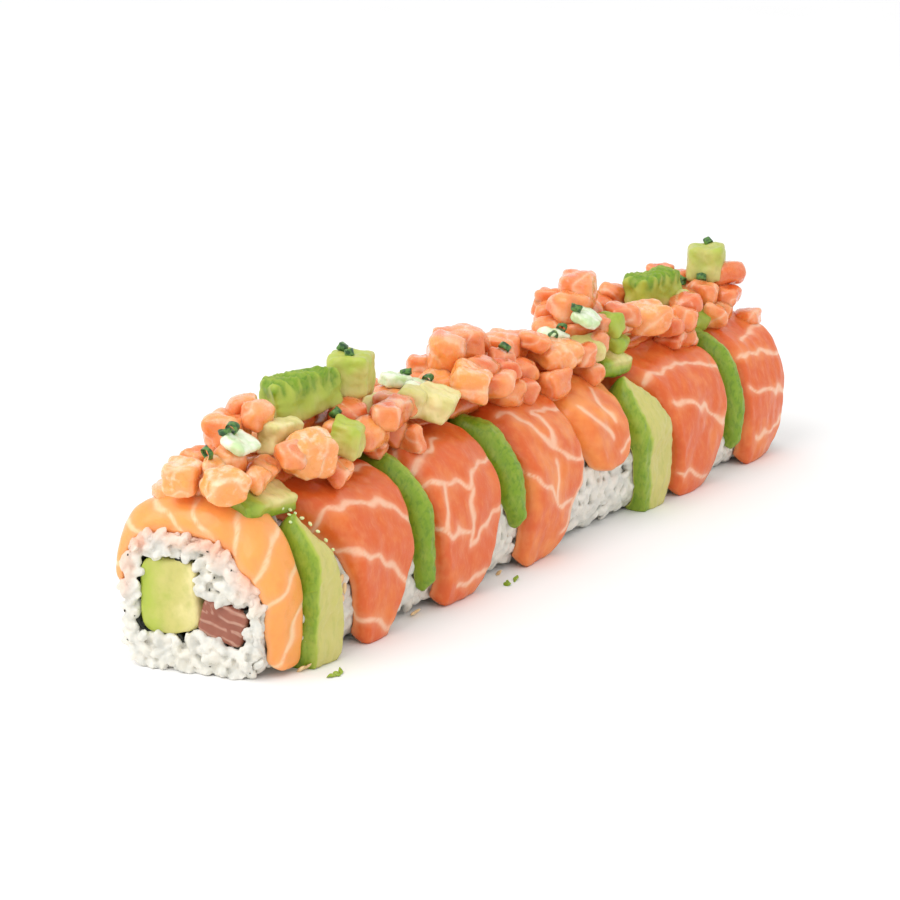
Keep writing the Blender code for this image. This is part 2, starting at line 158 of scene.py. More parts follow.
# White fat lines of each salmon slice, as (x, angle) along the flesh. An x ahead of the
# slice's front edge runs down over the thick rounded edge.
FAT_LINES = {
    "salmon_slice_1": [
        [(-6, 24), (3, 14), (13, 8)],
        [(-6, 50), (2, 38), (13, 30)],
        [(-6, 77), (0, 62), (6, 52), (13, 48)],
        [(-6, 104), (-3, 90), (3, 81), (13, 73)],
        [(-6, 128), (2, 111), (13, 100)],
        [(-6, 157), (1, 141), (7, 129), (13, 122)],
        [(-6, 190), (2, 170), (7, 157), (13, 149)],
        [(1, 222), (6, 207), (8, 188), (13, 173)],
    ],
    "salmon_slice_2": [
        [(36, 107), (44, 109), (53, 113)],
        [(17, 134), (26, 131), (34, 132), (40, 137), (46, 144), (51, 153), (54, 166)],
        [(20, 153), (28, 159), (35, 166), (41, 175), (46, 185), (51, 196)],
        [(27, 203), (35, 206), (42, 214)],
    ],
    "salmon_slice_3": [
        [(60, 127), (67, 123), (74, 117), (78, 112)],
        [(72, 92), (66, 106), (61, 108)],
        [(60, 139), (66, 140), (72, 143), (78, 148)],
        [(78, 148), (82, 142), (88, 137), (97, 140)],
        [(69, 143), (67, 155), (66, 167)],
        [(60, 167), (67, 172), (76, 178)],
        [(79, 150), (77, 165), (76, 184)],
        [(76, 186), (83, 178), (89, 172), (96, 176)],
        [(70, 208), (80, 206), (90, 202)],
    ],
    "salmon_slice_4": [
        [(108, 110), (112, 119), (116, 134), (120, 150), (125, 159), (134, 162)],
        [(120, 122), (128, 122), (134, 127), (136, 140)],
        [(120, 122), (121, 134), (120, 149)],
        [(133, 130), (134, 146), (129, 160)],
        [(103, 148), (106, 158), (110, 168), (116, 183)],
        [(116, 183), (126, 189)],
        [(118, 157), (117, 169), (116, 183)],
        [(130, 163), (128, 177), (124, 190), (119, 203)],
    ],
    "salmon_slice_5": [
        [(140, 108), (150, 104), (158, 108), (160, 122)],
        [(150, 120), (147, 133), (150, 146)],
        [(159, 140), (157, 156), (149, 168)],
        [(138, 128), (141, 143), (147, 158)],
    ],
    "salmon_slice_6": [
        [(200, 107), (208, 112), (214, 120)],
        [(174, 129), (182, 127), (190, 127), (198, 131), (205, 136), (214, 149)],
        [(181, 150), (190, 158), (199, 167), (206, 177), (213, 190)],
        [(183, 203), (191, 206), (199, 214)],
    ],
    "salmon_slice_7": [
        [(230, 129), (238, 124), (250, 119)],
        [(224, 138), (232, 141), (240, 145), (250, 148)],
        [(224, 165), (233, 170), (241, 173), (250, 174)],
        [(226, 200), (236, 198), (246, 192)],
    ],
}

# Large dice, which lie where the frame says: length, width and height, then tilt about X,
# spin about Z, and how far the flesh runs from skin green (0, or less where the ridged skin
# side is up) to stone yellow (1), or from orange (0) to coral (1).
Chunk = namedtuple("Chunk", "name kind size tilt spin tone")
CHUNKS = [
    Chunk("salmon_dice_1", "salmon", (8, 8.5, 7), 4, 20, 0.0),
    Chunk("salmon_dice_2", "salmon", (10, 9, 6.5), 12, -25, 0.0),
    Chunk("salmon_dice_3", "salmon", (11, 9, 8), 0, 15, 0.3),
    Chunk("avocado_chunk_2", "avocado", (12.5, 5.5, 7), 6, 2, 1.0),
    Chunk("salmon_dice_4", "salmon", (12.5, 8.5, 9.5), 20, -14, 0.1),
    Chunk("avocado_chunk_1", "avocado", (20, 9, 10), 0, -8, -0.02),
    Chunk("avocado_chunk_3", "avocado", (8.5, 8.5, 8.5), 14, 25, 0.4),
    Chunk("avocado_chunk_4", "avocado", (12, 11, 11), 0, 30, 0.45),
    Chunk("avocado_chunk_5", "avocado", (13, 9, 8), 18, 24, 1.0),
    Chunk("salmon_dice_5", "salmon", (11, 10, 8), 18, 30, 0.2),
    Chunk("salmon_dice_6", "salmon", (11, 11, 8), 0, -20, 0.5),
    Chunk("salmon_dice_7", "salmon", (12, 10, 7), 0, 12, 0.5),
    Chunk("salmon_dice_8", "salmon", (13, 10, 7), 12, -18, 0.2),
    Chunk("salmon_dice_9", "salmon", (12, 10, 10), 0, 22, 0.6),
    Chunk("salmon_dice_10", "salmon", (13, 10, 8), 14, -22, 0.2),
    Chunk("avocado_chunk_6", "avocado", (19, 9, 9), 0, -10, -0.02),
    Chunk("avocado_chunk_7", "avocado", (12, 11, 11), 0, 28, 0.45),
]

# Small dice set one by one where they show best: kind, x, y, size, tilt, spin and, for salmon, tone.
Bit = namedtuple("Bit", "kind x y size tilt spin tone", defaults=(0.0,))
PLACED_BITS = [
    Bit("salmon", 6.5, 6.5, (8, 6.5, 6), 12, 30, 0.3),
    Bit("salmon", 9.5, 1.0, (7, 6, 5), 8, -20, 0.4),
    Bit("salmon", 17.0, -4.5, (9, 6, 6), 25, 15, 0.5),
    Bit("salmon", 24.0, 6.5, (8, 6.5, 7), 10, -30, 0.3),
    Bit("salmon", 22.0, 1.0, (9, 6, 6), 15, 10, 0.5),
    Bit("salmon", 29.0, 8.5, (7, 7, 8), 0, 25, 0.1),
    Bit("salmon", 6.5, 13.5, (10, 8, 3.5), -14, 30, 0.0),
    Bit("salmon", 5.5, 0.5, (7, 6, 6), 12, -35, 0.1),
    Bit("salmon", 11.0, -7.0, (7, 5.5, 5), 25, 20, 0.2),
    Bit("salmon", 20.0, -10.0, (8, 6, 5), 30, -20, 0.6),
    Bit("salmon", 36.0, -11.5, (7, 6, 5), 32, 25, 0.6),
    Bit("salmon", 36.0, -3.0, (8, 6.5, 7), 12, 15, 0.3),
    Bit("salmon", 55.0, -1.5, (10, 7, 6), 20, -15, 0.8),
    Bit("salmon", 59.0, -6.0, (9, 6, 5), 25, 35, 0.9),
    Bit("salmon", 70.0, -3.0, (10, 8, 7), 15, 20, 0.8),
    Bit("yellow", 78.0, -4.0, (8, 7, 7), 10, 30),
    Bit("salmon", 92.0, 5.0, (9, 8, 8), 5, 15, 0.5),
    Bit("salmon", 97.0, 0.5, (9, 8, 7), 10, -25, 0.3),
    Bit("salmon", 116.0, -1.5, (11, 8, 7), 18, 10, 0.3),
    Bit("salmon", 122.0, 5.0, (9, 8, 8), 0, 30, 0.4),
    Bit("yellow", 127.0, -1.0, (5, 5, 5), 10, 20),
    Bit("salmon", 137.0, -3.0, (9, 7, 6), 20, 40, 0.4),
    Bit("salmon", 153.0, 2.0, (10, 8, 7), 8, -10, 0.5),
    Bit("salmon", 158.0, 6.0, (10, 8, 8), 0, 25, 0.5),
    Bit("salmon", 163.0, 1.5, (12, 9, 8), 10, -15, 0.6),
    Bit("salmon", 165.0, 9.0, (11, 8, 8), -8, 20, 0.5),
    Bit("salmon", 177.0, 5.0, (11, 8, 8), 5, -25, 0.6),
    Bit("salmon", 166.0, -3.5, (11, 8, 6), 20, 10, 0.6),
    Bit("salmon", 104.0, 2.5, (12, 9, 9), 5, 30, 0.5),
    Bit("salmon", 118.0, 6.5, (12, 9, 9), 0, -25, 0.6),
    Bit("salmon", 108.0, -5.0, (12, 9, 8), 22, 12, 0.5),
    Bit("salmon", 117.0, -6.5, (11, 8, 7), 25, -20, 0.6),
    Bit("green", 172.0, -7.5, (7, 6, 5), 25, 10),
    Bit("salmon", 180.0, 1.5, (10, 8, 7), 10, 20, 0.4),
    Bit("yellow", 189.0, 0.5, (9, 6, 6), 8, -15),
    Bit("salmon", 199.0, 2.0, (9, 7, 7), 10, 30, 0.5),
    Bit("green", 223.0, -4.0, (7, 6, 6), 18, -20),
    Bit("salmon", 228.0, 2.0, (9, 8, 7), 5, 15, 0.7),
    Bit("salmon", 236.0, -5.0, (9, 7, 6), 15, 25, 0.6),
]

# Pale wedges of spring onion: x, y, size, tilt and spin.
ONION_WEDGES = [
    (10.0, -3.0, (9, 7, 3.2), 35, 8),
    (88.0, 1.0, (9, 6, 4), 10, 20),
    (84.0, 5.0, (8, 6, 4), 5, -20),
    (159.0, -6.0, (11, 7, 3.5), 32, 12),
    (150.0, -1.0, (8, 6, 4), 12, -25),
]

# Chive rings: x, y and the tilt of the ring's axis from level.
CHIVE_RINGS = [
    (4.0, 1.5, 15), (7.5, -0.8, 70), (9.5, -1.5, 20), (47.5, -3.0, 40), (59.0, 1.0, 75), (62.0, 5.0, 30),
    (88.5, 4.5, 60), (91.5, 0.0, 20), (121.0, -4.0, 45), (145.0, -4.0, 15), (155.0, -5.0, 65),
    (151.0, -3.0, 30), (206.0, -3.0, 50), (229.0, 4.0, 20), (232.0, -1.0, 70), (243.0, 3.0, 40),
]

# Sesame on the rice and beside the slices: x, the angle round the section, and lift off the rice.
SESAME = [
    (11.4, 226, 5.8), (10.2, 228, 6.4), (12.4, 229, 7.0), (27.4, 176, 0.5), (28.2, 183, 0.7),
    (27.6, 190, 0.5), (57.8, 226, 3.4), (59.2, 229, 4.2), (96.8, 226, 3.4),
]

# Beads of avocado juice along the first leaf's top: x, angle and lift off the rice.
BEADS = [
    (13.6, 116, 8.0), (14.8, 119, 8.0), (15.9, 117, 8.3), (16.8, 121, 7.7), (17.7, 124, 7.4),
    (18.9, 128, 7.0), (15.2, 124, 7.7), (20.4, 133, 6.6), (21.6, 139, 6.1), (14.2, 128, 7.2),
    (22.4, 146, 5.9), (23.1, 153, 5.7),
]

# Crumbs of avocado on the nearer cut face and on the ground by it: x, y and z.
CRUMBS = [
    (-1.3, 13.6, 9.6), (-1.5, 11.6, 8.4), (-1.2, 9.4, 7.2), (-1.0, 15.0, 11.4), (11.0, -26.8, 0.5),
    (12.8, -27.2, 0.5), (14.6, -27.0, 0.4), (95.5, -23.4, 0.5), (91.0, -23.8, 0.5),
]

# Where the nori shows dark between the grains of the nearer cut face: y, z and radius.
FACE_GAPS = [(4.6, 26.6, 1.5), (-12.3, 15.4, 1.3), (-11.4, 7.6, 1.4), (14.6, 9.6, 1.0), (5.0, 7.6, 1.1),
             (0.6, 27.0, 0.8), (-3.0, 24.6, 0.8)]


# ---------------------------------------------------------------- shared shape helpers

def ripple(points, size, seed, strength=1.0):
    """Smooth bumps about size mm wide over an array of points, from waves in many directions."""
    dice = np.random.default_rng(seed)
    total = np.zeros(points.shape[:-1])
    count = 9
    for _ in range(count):
        direction = dice.normal(size=3)
        direction *= 2 * math.pi / (size * dice.uniform(0.75, 1.5) * np.linalg.norm(direction))
        total += np.sin(points @ direction + dice.uniform(0, 2 * math.pi))
    return strength * total * math.sqrt(2 / count)


def roughened(points, size, seed, strength):
    """Smooth uneven shifts along all three axes."""
    return strength * np.stack([ripple(points, size, seed + axis) for axis in range(3)], axis=-1)


def name_seed(name):
    """A steady small number for a name, to seed its unevenness."""
    return sum((place + 1) * ord(letter) for place, letter in enumerate(name)) % 9973


def smooth_step(low, high, value):
    """Ease from 0 at low to 1 at high."""
    share = np.clip((value - low) / (high - low), 0, 1)
    return share * share * (3 - 2 * share)


def outline_reach(outline, angle):
    """Distance from an outline's centre to its edge at an angle from +Y over +Z."""
    across, rise = np.cos(angle), np.sin(angle)
    width = np.where(across >= 0, outline.left, outline.right)
    height = np.where(rise >= 0, outline.up, outline.down)
    upper = np.where(across >= 0, outline.upper_left, outline.upper_right)
    lower = np.where(across >= 0, outline.lower_left, outline.lower_right)
    power = np.where(rise >= 0, upper, lower)
    return ((np.abs(across) / width) ** power + (np.abs(rise) / height) ** power) ** (-1 / power)


def skewed_x(x, y):
    """The nearer cut face is not square: its left side stands forward."""
    return x - (y - SKEW_PIVOT_Y) * math.tan(NEAR_FACE_SKEW) * np.clip(1 - x / CUTS[0], 0, None)


def outline_points(outline, x, angle, lift=0.0):
    """Points on an outline at stations x, moved outwards by lift."""
    x, angle = np.broadcast_arrays(np.asarray(x, float), np.asarray(angle, float))
    reach = outline_reach(outline, angle) + lift
    y = outline.y + reach * np.cos(angle)
    return np.stack([skewed_x(x, y), y, outline.z + reach * np.sin(angle)], axis=-1)


def rice_points(x, angle, lift=0.0):
    """Points on the outside of the rice, lifted outwards by lift."""
    x, angle = np.broadcast_arrays(np.asarray(x, float), np.asarray(angle, float))
    reach = np.where(x < CUTS[0], outline_reach(RICE_NEAR, angle), outline_reach(RICE, angle))
    reach = reach + RICE_WAVE * np.sin(3 * angle + x / 9) * np.sin(x / 14 + 1.3) + lift
    y = reach * np.cos(angle)
    z = RICE.z + reach * np.sin(angle)
    toe = FOOT_FLARE_REST + (1 - FOOT_FLARE_REST) * np.clip(1 - x / FOOT_LENGTH, 0, None) ** 2
    flare = FOOT_FLARE * toe * np.clip(1 - z / FOOT_HEIGHT, 0, None) ** 2
    y = np.where(y < 0, y - flare, y)
    return np.stack([skewed_x(x, y), y, np.maximum(z, 0.0)], axis=-1)


class Shape:
    """Points in mm, four-sided and three-sided faces, and named values on the points."""

    def __init__(self, points, quads=None, tris=None, values=None):
        self.points = np.asarray(points, float)
        self.quads = np.zeros((0, 4), int) if quads is None else np.asarray(quads, int)
        self.tris = np.zeros((0, 3), int) if tris is None else np.asarray(tris, int)
        self.values = values or {}

    def facing_out(self):
        """Turn the faces over if they enclose a negative volume."""
        a, b, c, d = (self.points[self.quads[:, i]] for i in range(4))
        volume = np.sum(a * np.cross(b, c)) + np.sum(a * np.cross(c, d))
        a, b, c = (self.points[self.tris[:, i]] for i in range(3))
        volume += np.sum(a * np.cross(b, c))
        if volume < 0:
            self.quads = self.quads[:, ::-1]
            self.tris = self.tris[:, ::-1]
        return self


def join(shapes):
    """One shape out of many."""
    offset = 0
    quads, tris = [], []
    for shape in shapes:
        quads.append(shape.quads + offset)
        tris.append(shape.tris + offset)
        offset += len(shape.points)
    names = shapes[0].values
    values = {name: np.concatenate([shape.values[name] for shape in shapes]) for name in names}
    points = np.concatenate([shape.points for shape in shapes])
    return Shape(points, np.concatenate(quads), np.concatenate(tris), values)


def loft(rings, closed_path=False):
    """A skin over rings of equal point counts, closed into a ring or capped at both ends."""
    count, around = rings.shape[:2]
    rows = np.arange(count * around).reshape(count, around)
    after = np.roll(rows, -1, axis=1)
    points = rings.reshape(-1, 3)
    if closed_path:
        next_rows, next_after = np.roll(rows, -1, axis=0), np.roll(after, -1, axis=0)
        quads = np.stack([rows, after, next_after, next_rows], axis=-1).reshape(-1, 4)
        return Shape(points, quads).facing_out()
    quads = np.stack([rows[:-1], after[:-1], after[1:], rows[1:]], axis=-1).reshape(-1, 4)
    middles = np.stack([rings[0].mean(axis=0), rings[-1].mean(axis=0)])
    first = np.full(around, len(points))
    front_cap = np.stack([after[0], rows[0], first], axis=-1)
    back_cap = np.stack([rows[-1], after[-1], first + 1], axis=-1)
    return Shape(np.concatenate([points, middles]), quads, np.concatenate([front_cap, back_cap])).facing_out()


def copies(base, centres, axes, sizes):
    """Copies of a base shape; axes gives each copy's long, wide and thick directions."""
    scaled = base.points[None] * sizes[:, None]
    turned = np.einsum("cpi,cij->cpj", scaled, axes) + centres[:, None]
    step = (np.arange(len(centres)) * len(base.points))[:, None, None]
    quads = (base.quads[None] + step).reshape(-1, 4)
    tris = (base.tris[None] + step).reshape(-1, 3)
    return Shape(turned.reshape(-1, 3), quads, tris)


def spindle(around, rows, blunt, taper=0.0):
    """A closed plump spindle, one unit long along X and one unit thick."""
    share = (1 - np.cos(np.linspace(0, math.pi, rows + 2)[1:-1])) / 2
    radius = 0.5 * np.sin(math.pi * share) ** blunt * (1 - taper * share)
    angle = np.linspace(0, 2 * math.pi, around, endpoint=False)
    rings = np.stack(np.broadcast_arrays(
        share[:, None] - 0.5, radius[:, None] * np.cos(angle), radius[:, None] * np.sin(angle)), axis=-1)
    shape = loft(rings)
    shape.points[-2] = (-0.5, 0, 0)
    shape.points[-1] = (0.5, 0, 0)
    return shape


def rounded_block(divisions, power):
    """A cube two units wide with evenly gridded faces; a higher power leaves sharper edges."""
    reach = 0.9 * math.pi / 4
    steps = np.tan(np.linspace(-reach, reach, divisions + 1)) / math.tan(reach)
    number, points, quads = {}, [], []

    def corner(place):
        key = tuple(np.round(place, 6))
        if key not in number:
            number[key] = len(points)
            points.append(place)
        return number[key]

    for axis in range(3):
        for side in (-1, 1):
            for i in range(divisions):
                for j in range(divisions):
                    face = []
                    for di, dj in ((0, 0), (1, 0), (1, 1), (0, 1)):
                        place = np.empty(3)
                        place[axis] = side
                        place[(axis + 1) % 3] = steps[i + di]
                        place[(axis + 2) % 3] = steps[j + dj]
                        face.append(corner(place))
                    quads.append(face if side > 0 else face[::-1])
    points = np.array(points)
    spread = (np.abs(points) ** power).sum(axis=1) ** (1 / power)
    return Shape(points / spread[:, None], quads)


def turn_matrix(tilt, spin):
    """Rows are a piece's own X, Y and Z directions after a tilt about X and a spin about Z."""
    turned = Euler((math.radians(tilt), 0, math.radians(spin))).to_matrix()
    return np.array(turned).T


def piece(name, shape, material, replaced=()):
    """Make one visible piece of the roll from a shape in mm."""
    points = shape.points * MM + np.array([NEAR_END, 0, 0])
    mesh = bpy.data.meshes.new(name)
    mesh.from_pydata(points.tolist(), [], shape.quads.tolist() + shape.tris.tolist())
    for value_name, values in shape.values.items():
        layer = mesh.attributes.new(value_name, "FLOAT", "POINT")
        layer.data.foreach_set("value", np.asarray(values, np.float32))
    mesh.shade_smooth()
    mesh.materials.append(material)
    made = bpy.data.objects.new(name, mesh)
    bpy.context.scene.collection.objects.link(made)
    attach(made, "root")
    if replaced:
        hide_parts(*replaced)
    return made


class Heights:
    """How high everything already laid along the ridge stands, on a grid of square cells in mm."""

    CELL = 0.5
    START = np.array([-12.0, -26.0])
    SPAN = np.array([280.0, 52.0])

    def __init__(self):
        self.grid = np.zeros((self.SPAN / self.CELL).astype(int))

    def cells(self, x, y):
        """Grid indices of places in mm."""
        i = np.clip(((x - self.START[0]) / self.CELL).astype(int), 1, self.grid.shape[0] - 2)
        j = np.clip(((y - self.START[1]) / self.CELL).astype(int), 1, self.grid.shape[1] - 2)
        return i, j

    def add(self, points):
        """Raise the grid to a piece's points."""
        layer = np.zeros_like(self.grid)
        i, j = self.cells(points[:, 0], points[:, 1])
        np.maximum.at(layer, (i, j), points[:, 2])
        for axis in (0, 1):
            layer = np.maximum(layer, np.maximum(np.roll(layer, 1, axis), np.roll(layer, -1, axis)))
        self.grid = np.maximum(self.grid, layer)

    def under(self, points, share):
        """Height that this share of the cells below a piece's points stays under."""
        i, j = self.cells(points[:, 0], points[:, 1])
        return float(np.quantile(self.grid[i, j], share))


heights = Heights()


# ---------------------------------------------------------------- materials

def linear(hex_code):
    """Turn an sRGB hex colour such as E8734A into a linear RGBA colour."""
    channels = [int(hex_code[i:i + 2], 16) / 255 for i in (0, 2, 4)]
    return (*(c / 12.92 if c <= 0.04045 else ((c + 0.055) / 1.055) ** 2.4 for c in channels), 1.0)


def per_metre(size_mm):
    """Texture scale that gives features of this size in mm."""
    return 1 / (size_mm * MM)


def add_node(tree, kind, inputs=None, **settings):
    """Add a node, with its settings, and its inputs as values or as links from other nodes' outputs."""
    made = tree.nodes.new(kind)
    for name, value in settings.items():
        setattr(made, name, value)
    for name, value in (inputs or {}).items():
        if isinstance(value, bpy.types.NodeSocket):
            tree.links.new(value, made.inputs[name])
        else:
            made.inputs[name].default_value = value
    return made


def new_material(name, **sockets):
    """A Principled material whose uniform values sit on the shader's own sockets."""
    made = bpy.data.materials.new(name)
    made.use_nodes = True
    shader = made.node_tree.nodes["Principled BSDF"]
    for socket, value in sockets.items():
        shader.inputs[socket.replace("_", " ")].default_value = value
    return made, made.node_tree, shader


def noise_value(tree, size_mm, detail=3.0, stretch=(1, 1, 1)):
    """Noise with features of a real size, drawn on the object's own coordinates."""
    place = add_node(tree, "ShaderNodeTexCoord")
    mapped = add_node(tree, "ShaderNodeMapping", {"Vector": place.outputs["Object"], "Scale": stretch})
    made = add_node(tree, "ShaderNodeTexNoise", {
        "Vector": mapped.outputs["Vector"], "Scale": per_metre(size_mm), "Detail": detail, "Roughness": 0.55})
    return made.outputs["Fac"]


def eased(tree, value, low, high, to_low=0.0, to_high=1.0):
    """Map a value smoothly from low and high to two other values."""
    made = add_node(tree, "ShaderNodeMapRange", {
        "Value": value, "From Min": low, "From Max": high, "To Min": to_low, "To Max": to_high},
        interpolation_type="SMOOTHSTEP")
    return made.outputs["Result"]


def chosen(name):
    """A colour from the settings."""
    return getattr(bpy.context.scene.uramaki, name)


def mixed(tree, share, first, second):
    """Mix two colours, each a hex code, a setting or another node's output."""
    made = add_node(tree, "ShaderNodeMix", data_type="RGBA")
    for socket, value in ((made.inputs[0], share), (made.inputs[6], first), (made.inputs[7], second)):
        if isinstance(value, str):
            socket.default_value = linear(value)
        elif isinstance(value, bpy.types.NodeSocket):
            tree.links.new(value, socket)
        else:
            socket.default_value = value
    return made.outputs[2]


def worked(tree, operation, first, second):
    """Result of one sum on two values."""
    return add_node(tree, "ShaderNodeMath", {0: first, 1: second}, operation=operation).outputs[0]


def carried(tree, name):
    """A value carried by the mesh's points."""
    return add_node(tree, "ShaderNodeAttribute", attribute_name=name).outputs["Fac"]


def bumped(tree, shader, height, distance_mm, strength=1.0):
    """Fine relief below the size of the mesh's own faces."""
    made = add_node(tree, "ShaderNodeBump", {
        "Height": height, "Distance": distance_mm * MM, "Strength": strength})
    tree.links.new(made.outputs["Normal"], shader.inputs["Normal"])


def cooked_rice():
    """Steamed short-grain rice: wet, starchy and slightly see-through, so it glows white and its
    gaps go bluish grey, with a soft broken shine."""
    made, tree, shader = new_material(
        "cooked_rice", Roughness=0.38, IOR=1.38, Subsurface_Weight=0.4, Subsurface_Scale=0.0015,
        Coat_Weight=0.15, Coat_Roughness=0.2)
    shader.inputs["Subsurface Radius"].default_value = (1.0, 0.95, 0.85)
    body = mixed(tree, eased(tree, noise_value(tree, 3.0, 2.0), 0.35, 0.65), chosen("rice_white"), "D2D1C9")
    body = mixed(tree, eased(tree, noise_value(tree, 7.0), 0.45, 0.75, 0.0, 0.5), body, "DFD9C8")
    body = mixed(tree, carried(tree, "stain"), body, "EBB89E")
    tree.links.new(body, shader.inputs["Base Color"])
    tree.links.new(eased(tree, noise_value(tree, 1.2), 0.3, 0.7, 0.25, 0.5), shader.inputs["Roughness"])
    bumped(tree, shader, noise_value(tree, 0.8), 0.1, 0.35)
    return made


def damp_nori():
    """Pressed seaweed gone damp: almost black green, matt, with a papery pitted grain."""
    made, tree, shader = new_material("damp_nori", Roughness=0.5, IOR=1.45)
    body = mixed(tree, noise_value(tree, 1.5), "0B0D0A", "23291C")
    tree.links.new(body, shader.inputs["Base Color"])
    tree.links.new(eased(tree, noise_value(tree, 0.8), 0.3, 0.7, 0.35, 0.6), shader.inputs["Roughness"])
    bumped(tree, shader, noise_value(tree, 0.6), 0.2, 0.7)
    return made


def ripe_avocado():
    """Ripe avocado flesh: buttery and opaque, leaf green under the skin and fading through lime
    to a pale stone yellow, with faint fibres and a satin, slightly oily cut face."""
    made, tree, shader = new_material(
        "ripe_avocado", Roughness=0.42, IOR=1.42, Subsurface_Weight=0.2, Subsurface_Scale=0.0015,
        Coat_Weight=0.1, Coat_Roughness=0.25)
    shader.inputs["Subsurface Radius"].default_value = (0.9, 1.0, 0.35)
    # The carried value is ripeness, and on the crescents also a painted highlight that lifts a streak near
    # the crown towards lime.
    depth = worked(tree, "ADD", carried(tree, "ripe"),
                   eased(tree, noise_value(tree, 4.5), 0.25, 0.75, -0.07, 0.07))
    body = mixed(tree, eased(tree, depth, -0.05, 0.4), chosen("avocado_skin"),
                 chosen("avocado_middle"))
    body = mixed(tree, eased(tree, depth, 0.35, 0.75), body, "CAC272")
    body = mixed(tree, eased(tree, depth, 0.75, 1.1), body, chosen("avocado_heart"))
    dark = eased(tree, noise_value(tree, 1.6, stretch=(1, 2, 1)), 0.45, 0.7, 0.0, 0.6)
    fibres = noise_value(tree, 1.0, 3.0, (1, 0.3, 0.3))
    body = mixed(tree, eased(tree, fibres, 0.45, 0.8, 0.0, 0.4), body, "A5AE4C")
    skin_side = worked(tree, "MULTIPLY", dark, eased(tree, depth, 0.4, -0.1))
    body = mixed(tree, skin_side, body, "4C7A12")
    tree.links.new(body, shader.inputs["Base Color"])
    tree.links.new(eased(tree, noise_value(tree, 2.0), 0.3, 0.7, 0.32, 0.52), shader.inputs["Roughness"])
    bumped(tree, shader, noise_value(tree, 0.9), 0.2, 0.5)
    return made


def salmon_colour(tree):
    """Salmon flesh between orange and coral, crossed by pale fat lines, and paler along its edges as a
    painted highlight.
    """
    tone = worked(tree, "ADD", carried(tree, "tone"),
                  eased(tree, noise_value(tree, 9.0), 0.25, 0.75, -0.3, 0.3))
    body = mixed(tree, eased(tree, tone, 0.0, 1.0), chosen("salmon_orange"), chosen("salmon_coral"))
    fibres = noise_value(tree, 1.1, 4.0, (1, 0.45, 0.45))
    body = mixed(tree, eased(tree, fibres, 0.45, 0.8, 0.0, 0.3), body, "EE9656")
    cloud = eased(tree, noise_value(tree, 6.0, 2.0), 0.55, 0.8, 0.0, 0.35)
    body = mixed(tree, cloud, body, "EC955E")
    # Painted highlight: the flesh is paled within 1.8 mm of its edges, standing in for light catching its
    # thin rounded edges.
    edge = eased(tree, carried(tree, "margin"), 1.8, 0.0, 0.0, 0.45)
    body = mixed(tree, edge, body, "F3AA78")
    seam = worked(tree, "ADD", carried(tree, "seam"),
                  eased(tree, noise_value(tree, 2.4), 0.25, 0.75, -0.14, 0.14))
    halo = eased(tree, seam, 2.6, 0.4, 0.0, 0.3)
    body = mixed(tree, halo, body, "F3AC80")
    line = eased(tree, seam, 1.15, 0.1, 0.0, 0.82)
    return mixed(tree, line, body, mixed(tree, eased(tree, tone, 0.0, 0.8), "FBD2A6", "F4C6A6")), fibres


def raw_salmon():
    """Raw salmon, sliced: moist, soft and slightly see-through, so light bleeds orange into its
    edges; satin where the knife passed, with fine muscle fibres between the fat lines."""
    made, tree, shader = new_material(
        "raw_salmon", Roughness=0.34, IOR=1.38, Subsurface_Weight=0.25, Subsurface_Scale=0.002,
        Coat_Weight=0.25, Coat_Roughness=0.15)
    shader.inputs["Subsurface Radius"].default_value = (1.0, 0.4, 0.22)
    body, fibres = salmon_colour(tree)
    tree.links.new(body, shader.inputs["Base Color"])
    tree.links.new(eased(tree, noise_value(tree, 3.0), 0.3, 0.7, 0.28, 0.48), shader.inputs["Roughness"])
    bumped(tree, shader, worked(tree, "ADD", fibres, noise_value(tree, 0.6, 2.0)), 0.14, 0.5)
    return made


def dressed_salmon():
    """Salmon dice tossed in a thin creamy dressing: glossy, with a pale coat of dressing here and there that
    lets the orange through elsewhere.
    The coat is laid on more thickly on upward faces as a painted highlight, and a painted pale highlight runs
    along the edges."""
    made, tree, shader = new_material(
        "dressed_salmon", Roughness=0.26, IOR=1.4, Subsurface_Weight=0.4, Subsurface_Scale=0.003,
        Coat_Weight=0.6, Coat_Roughness=0.06)
    shader.inputs["Subsurface Radius"].default_value = (1.0, 0.4, 0.2)
    body, fibres = salmon_colour(tree)
    facing = add_node(tree, "ShaderNodeNewGeometry").outputs["Normal"]
    upward = add_node(tree, "ShaderNodeSeparateXYZ", {"Vector": facing}).outputs["Z"]
    # The pale coat is partly real dressing in noise-made blotches and partly painted highlight: it is laid on
    # more thickly where the surface faces up, standing in for light from above.
    blotches_and_top_highlight = worked(tree, "ADD", eased(tree, noise_value(tree, 2.2, 3.0), 0.35, 0.75),
                     worked(tree, "MULTIPLY", upward, 0.3))
    creamy = eased(tree, carried(tree, "tone"), 0.0, 0.5, 0.9, 0.12)
    dressing_and_top_highlight = worked(tree, "MULTIPLY", eased(tree, blotches_and_top_highlight, 0.25, 1.3), creamy)
    body = mixed(tree, dressing_and_top_highlight, body, "FBD4B2")
    # Painted highlight: the dice are paled towards cream within 0.9 mm of their edges, standing in for light
    # catching the rounded edges.
    painted_edge_highlight = eased(tree, carried(tree, "margin"), 0.9, 0.0, 0.0, 0.25)
    body = mixed(tree, painted_edge_highlight, body, "FACDA6")
    tree.links.new(body, shader.inputs["Base Color"])
    tree.links.new(eased(tree, noise_value(tree, 2.0), 0.3, 0.7, 0.18, 0.4), shader.inputs["Roughness"])
    bumped(tree, shader, fibres, 0.2, 0.45)
    return made


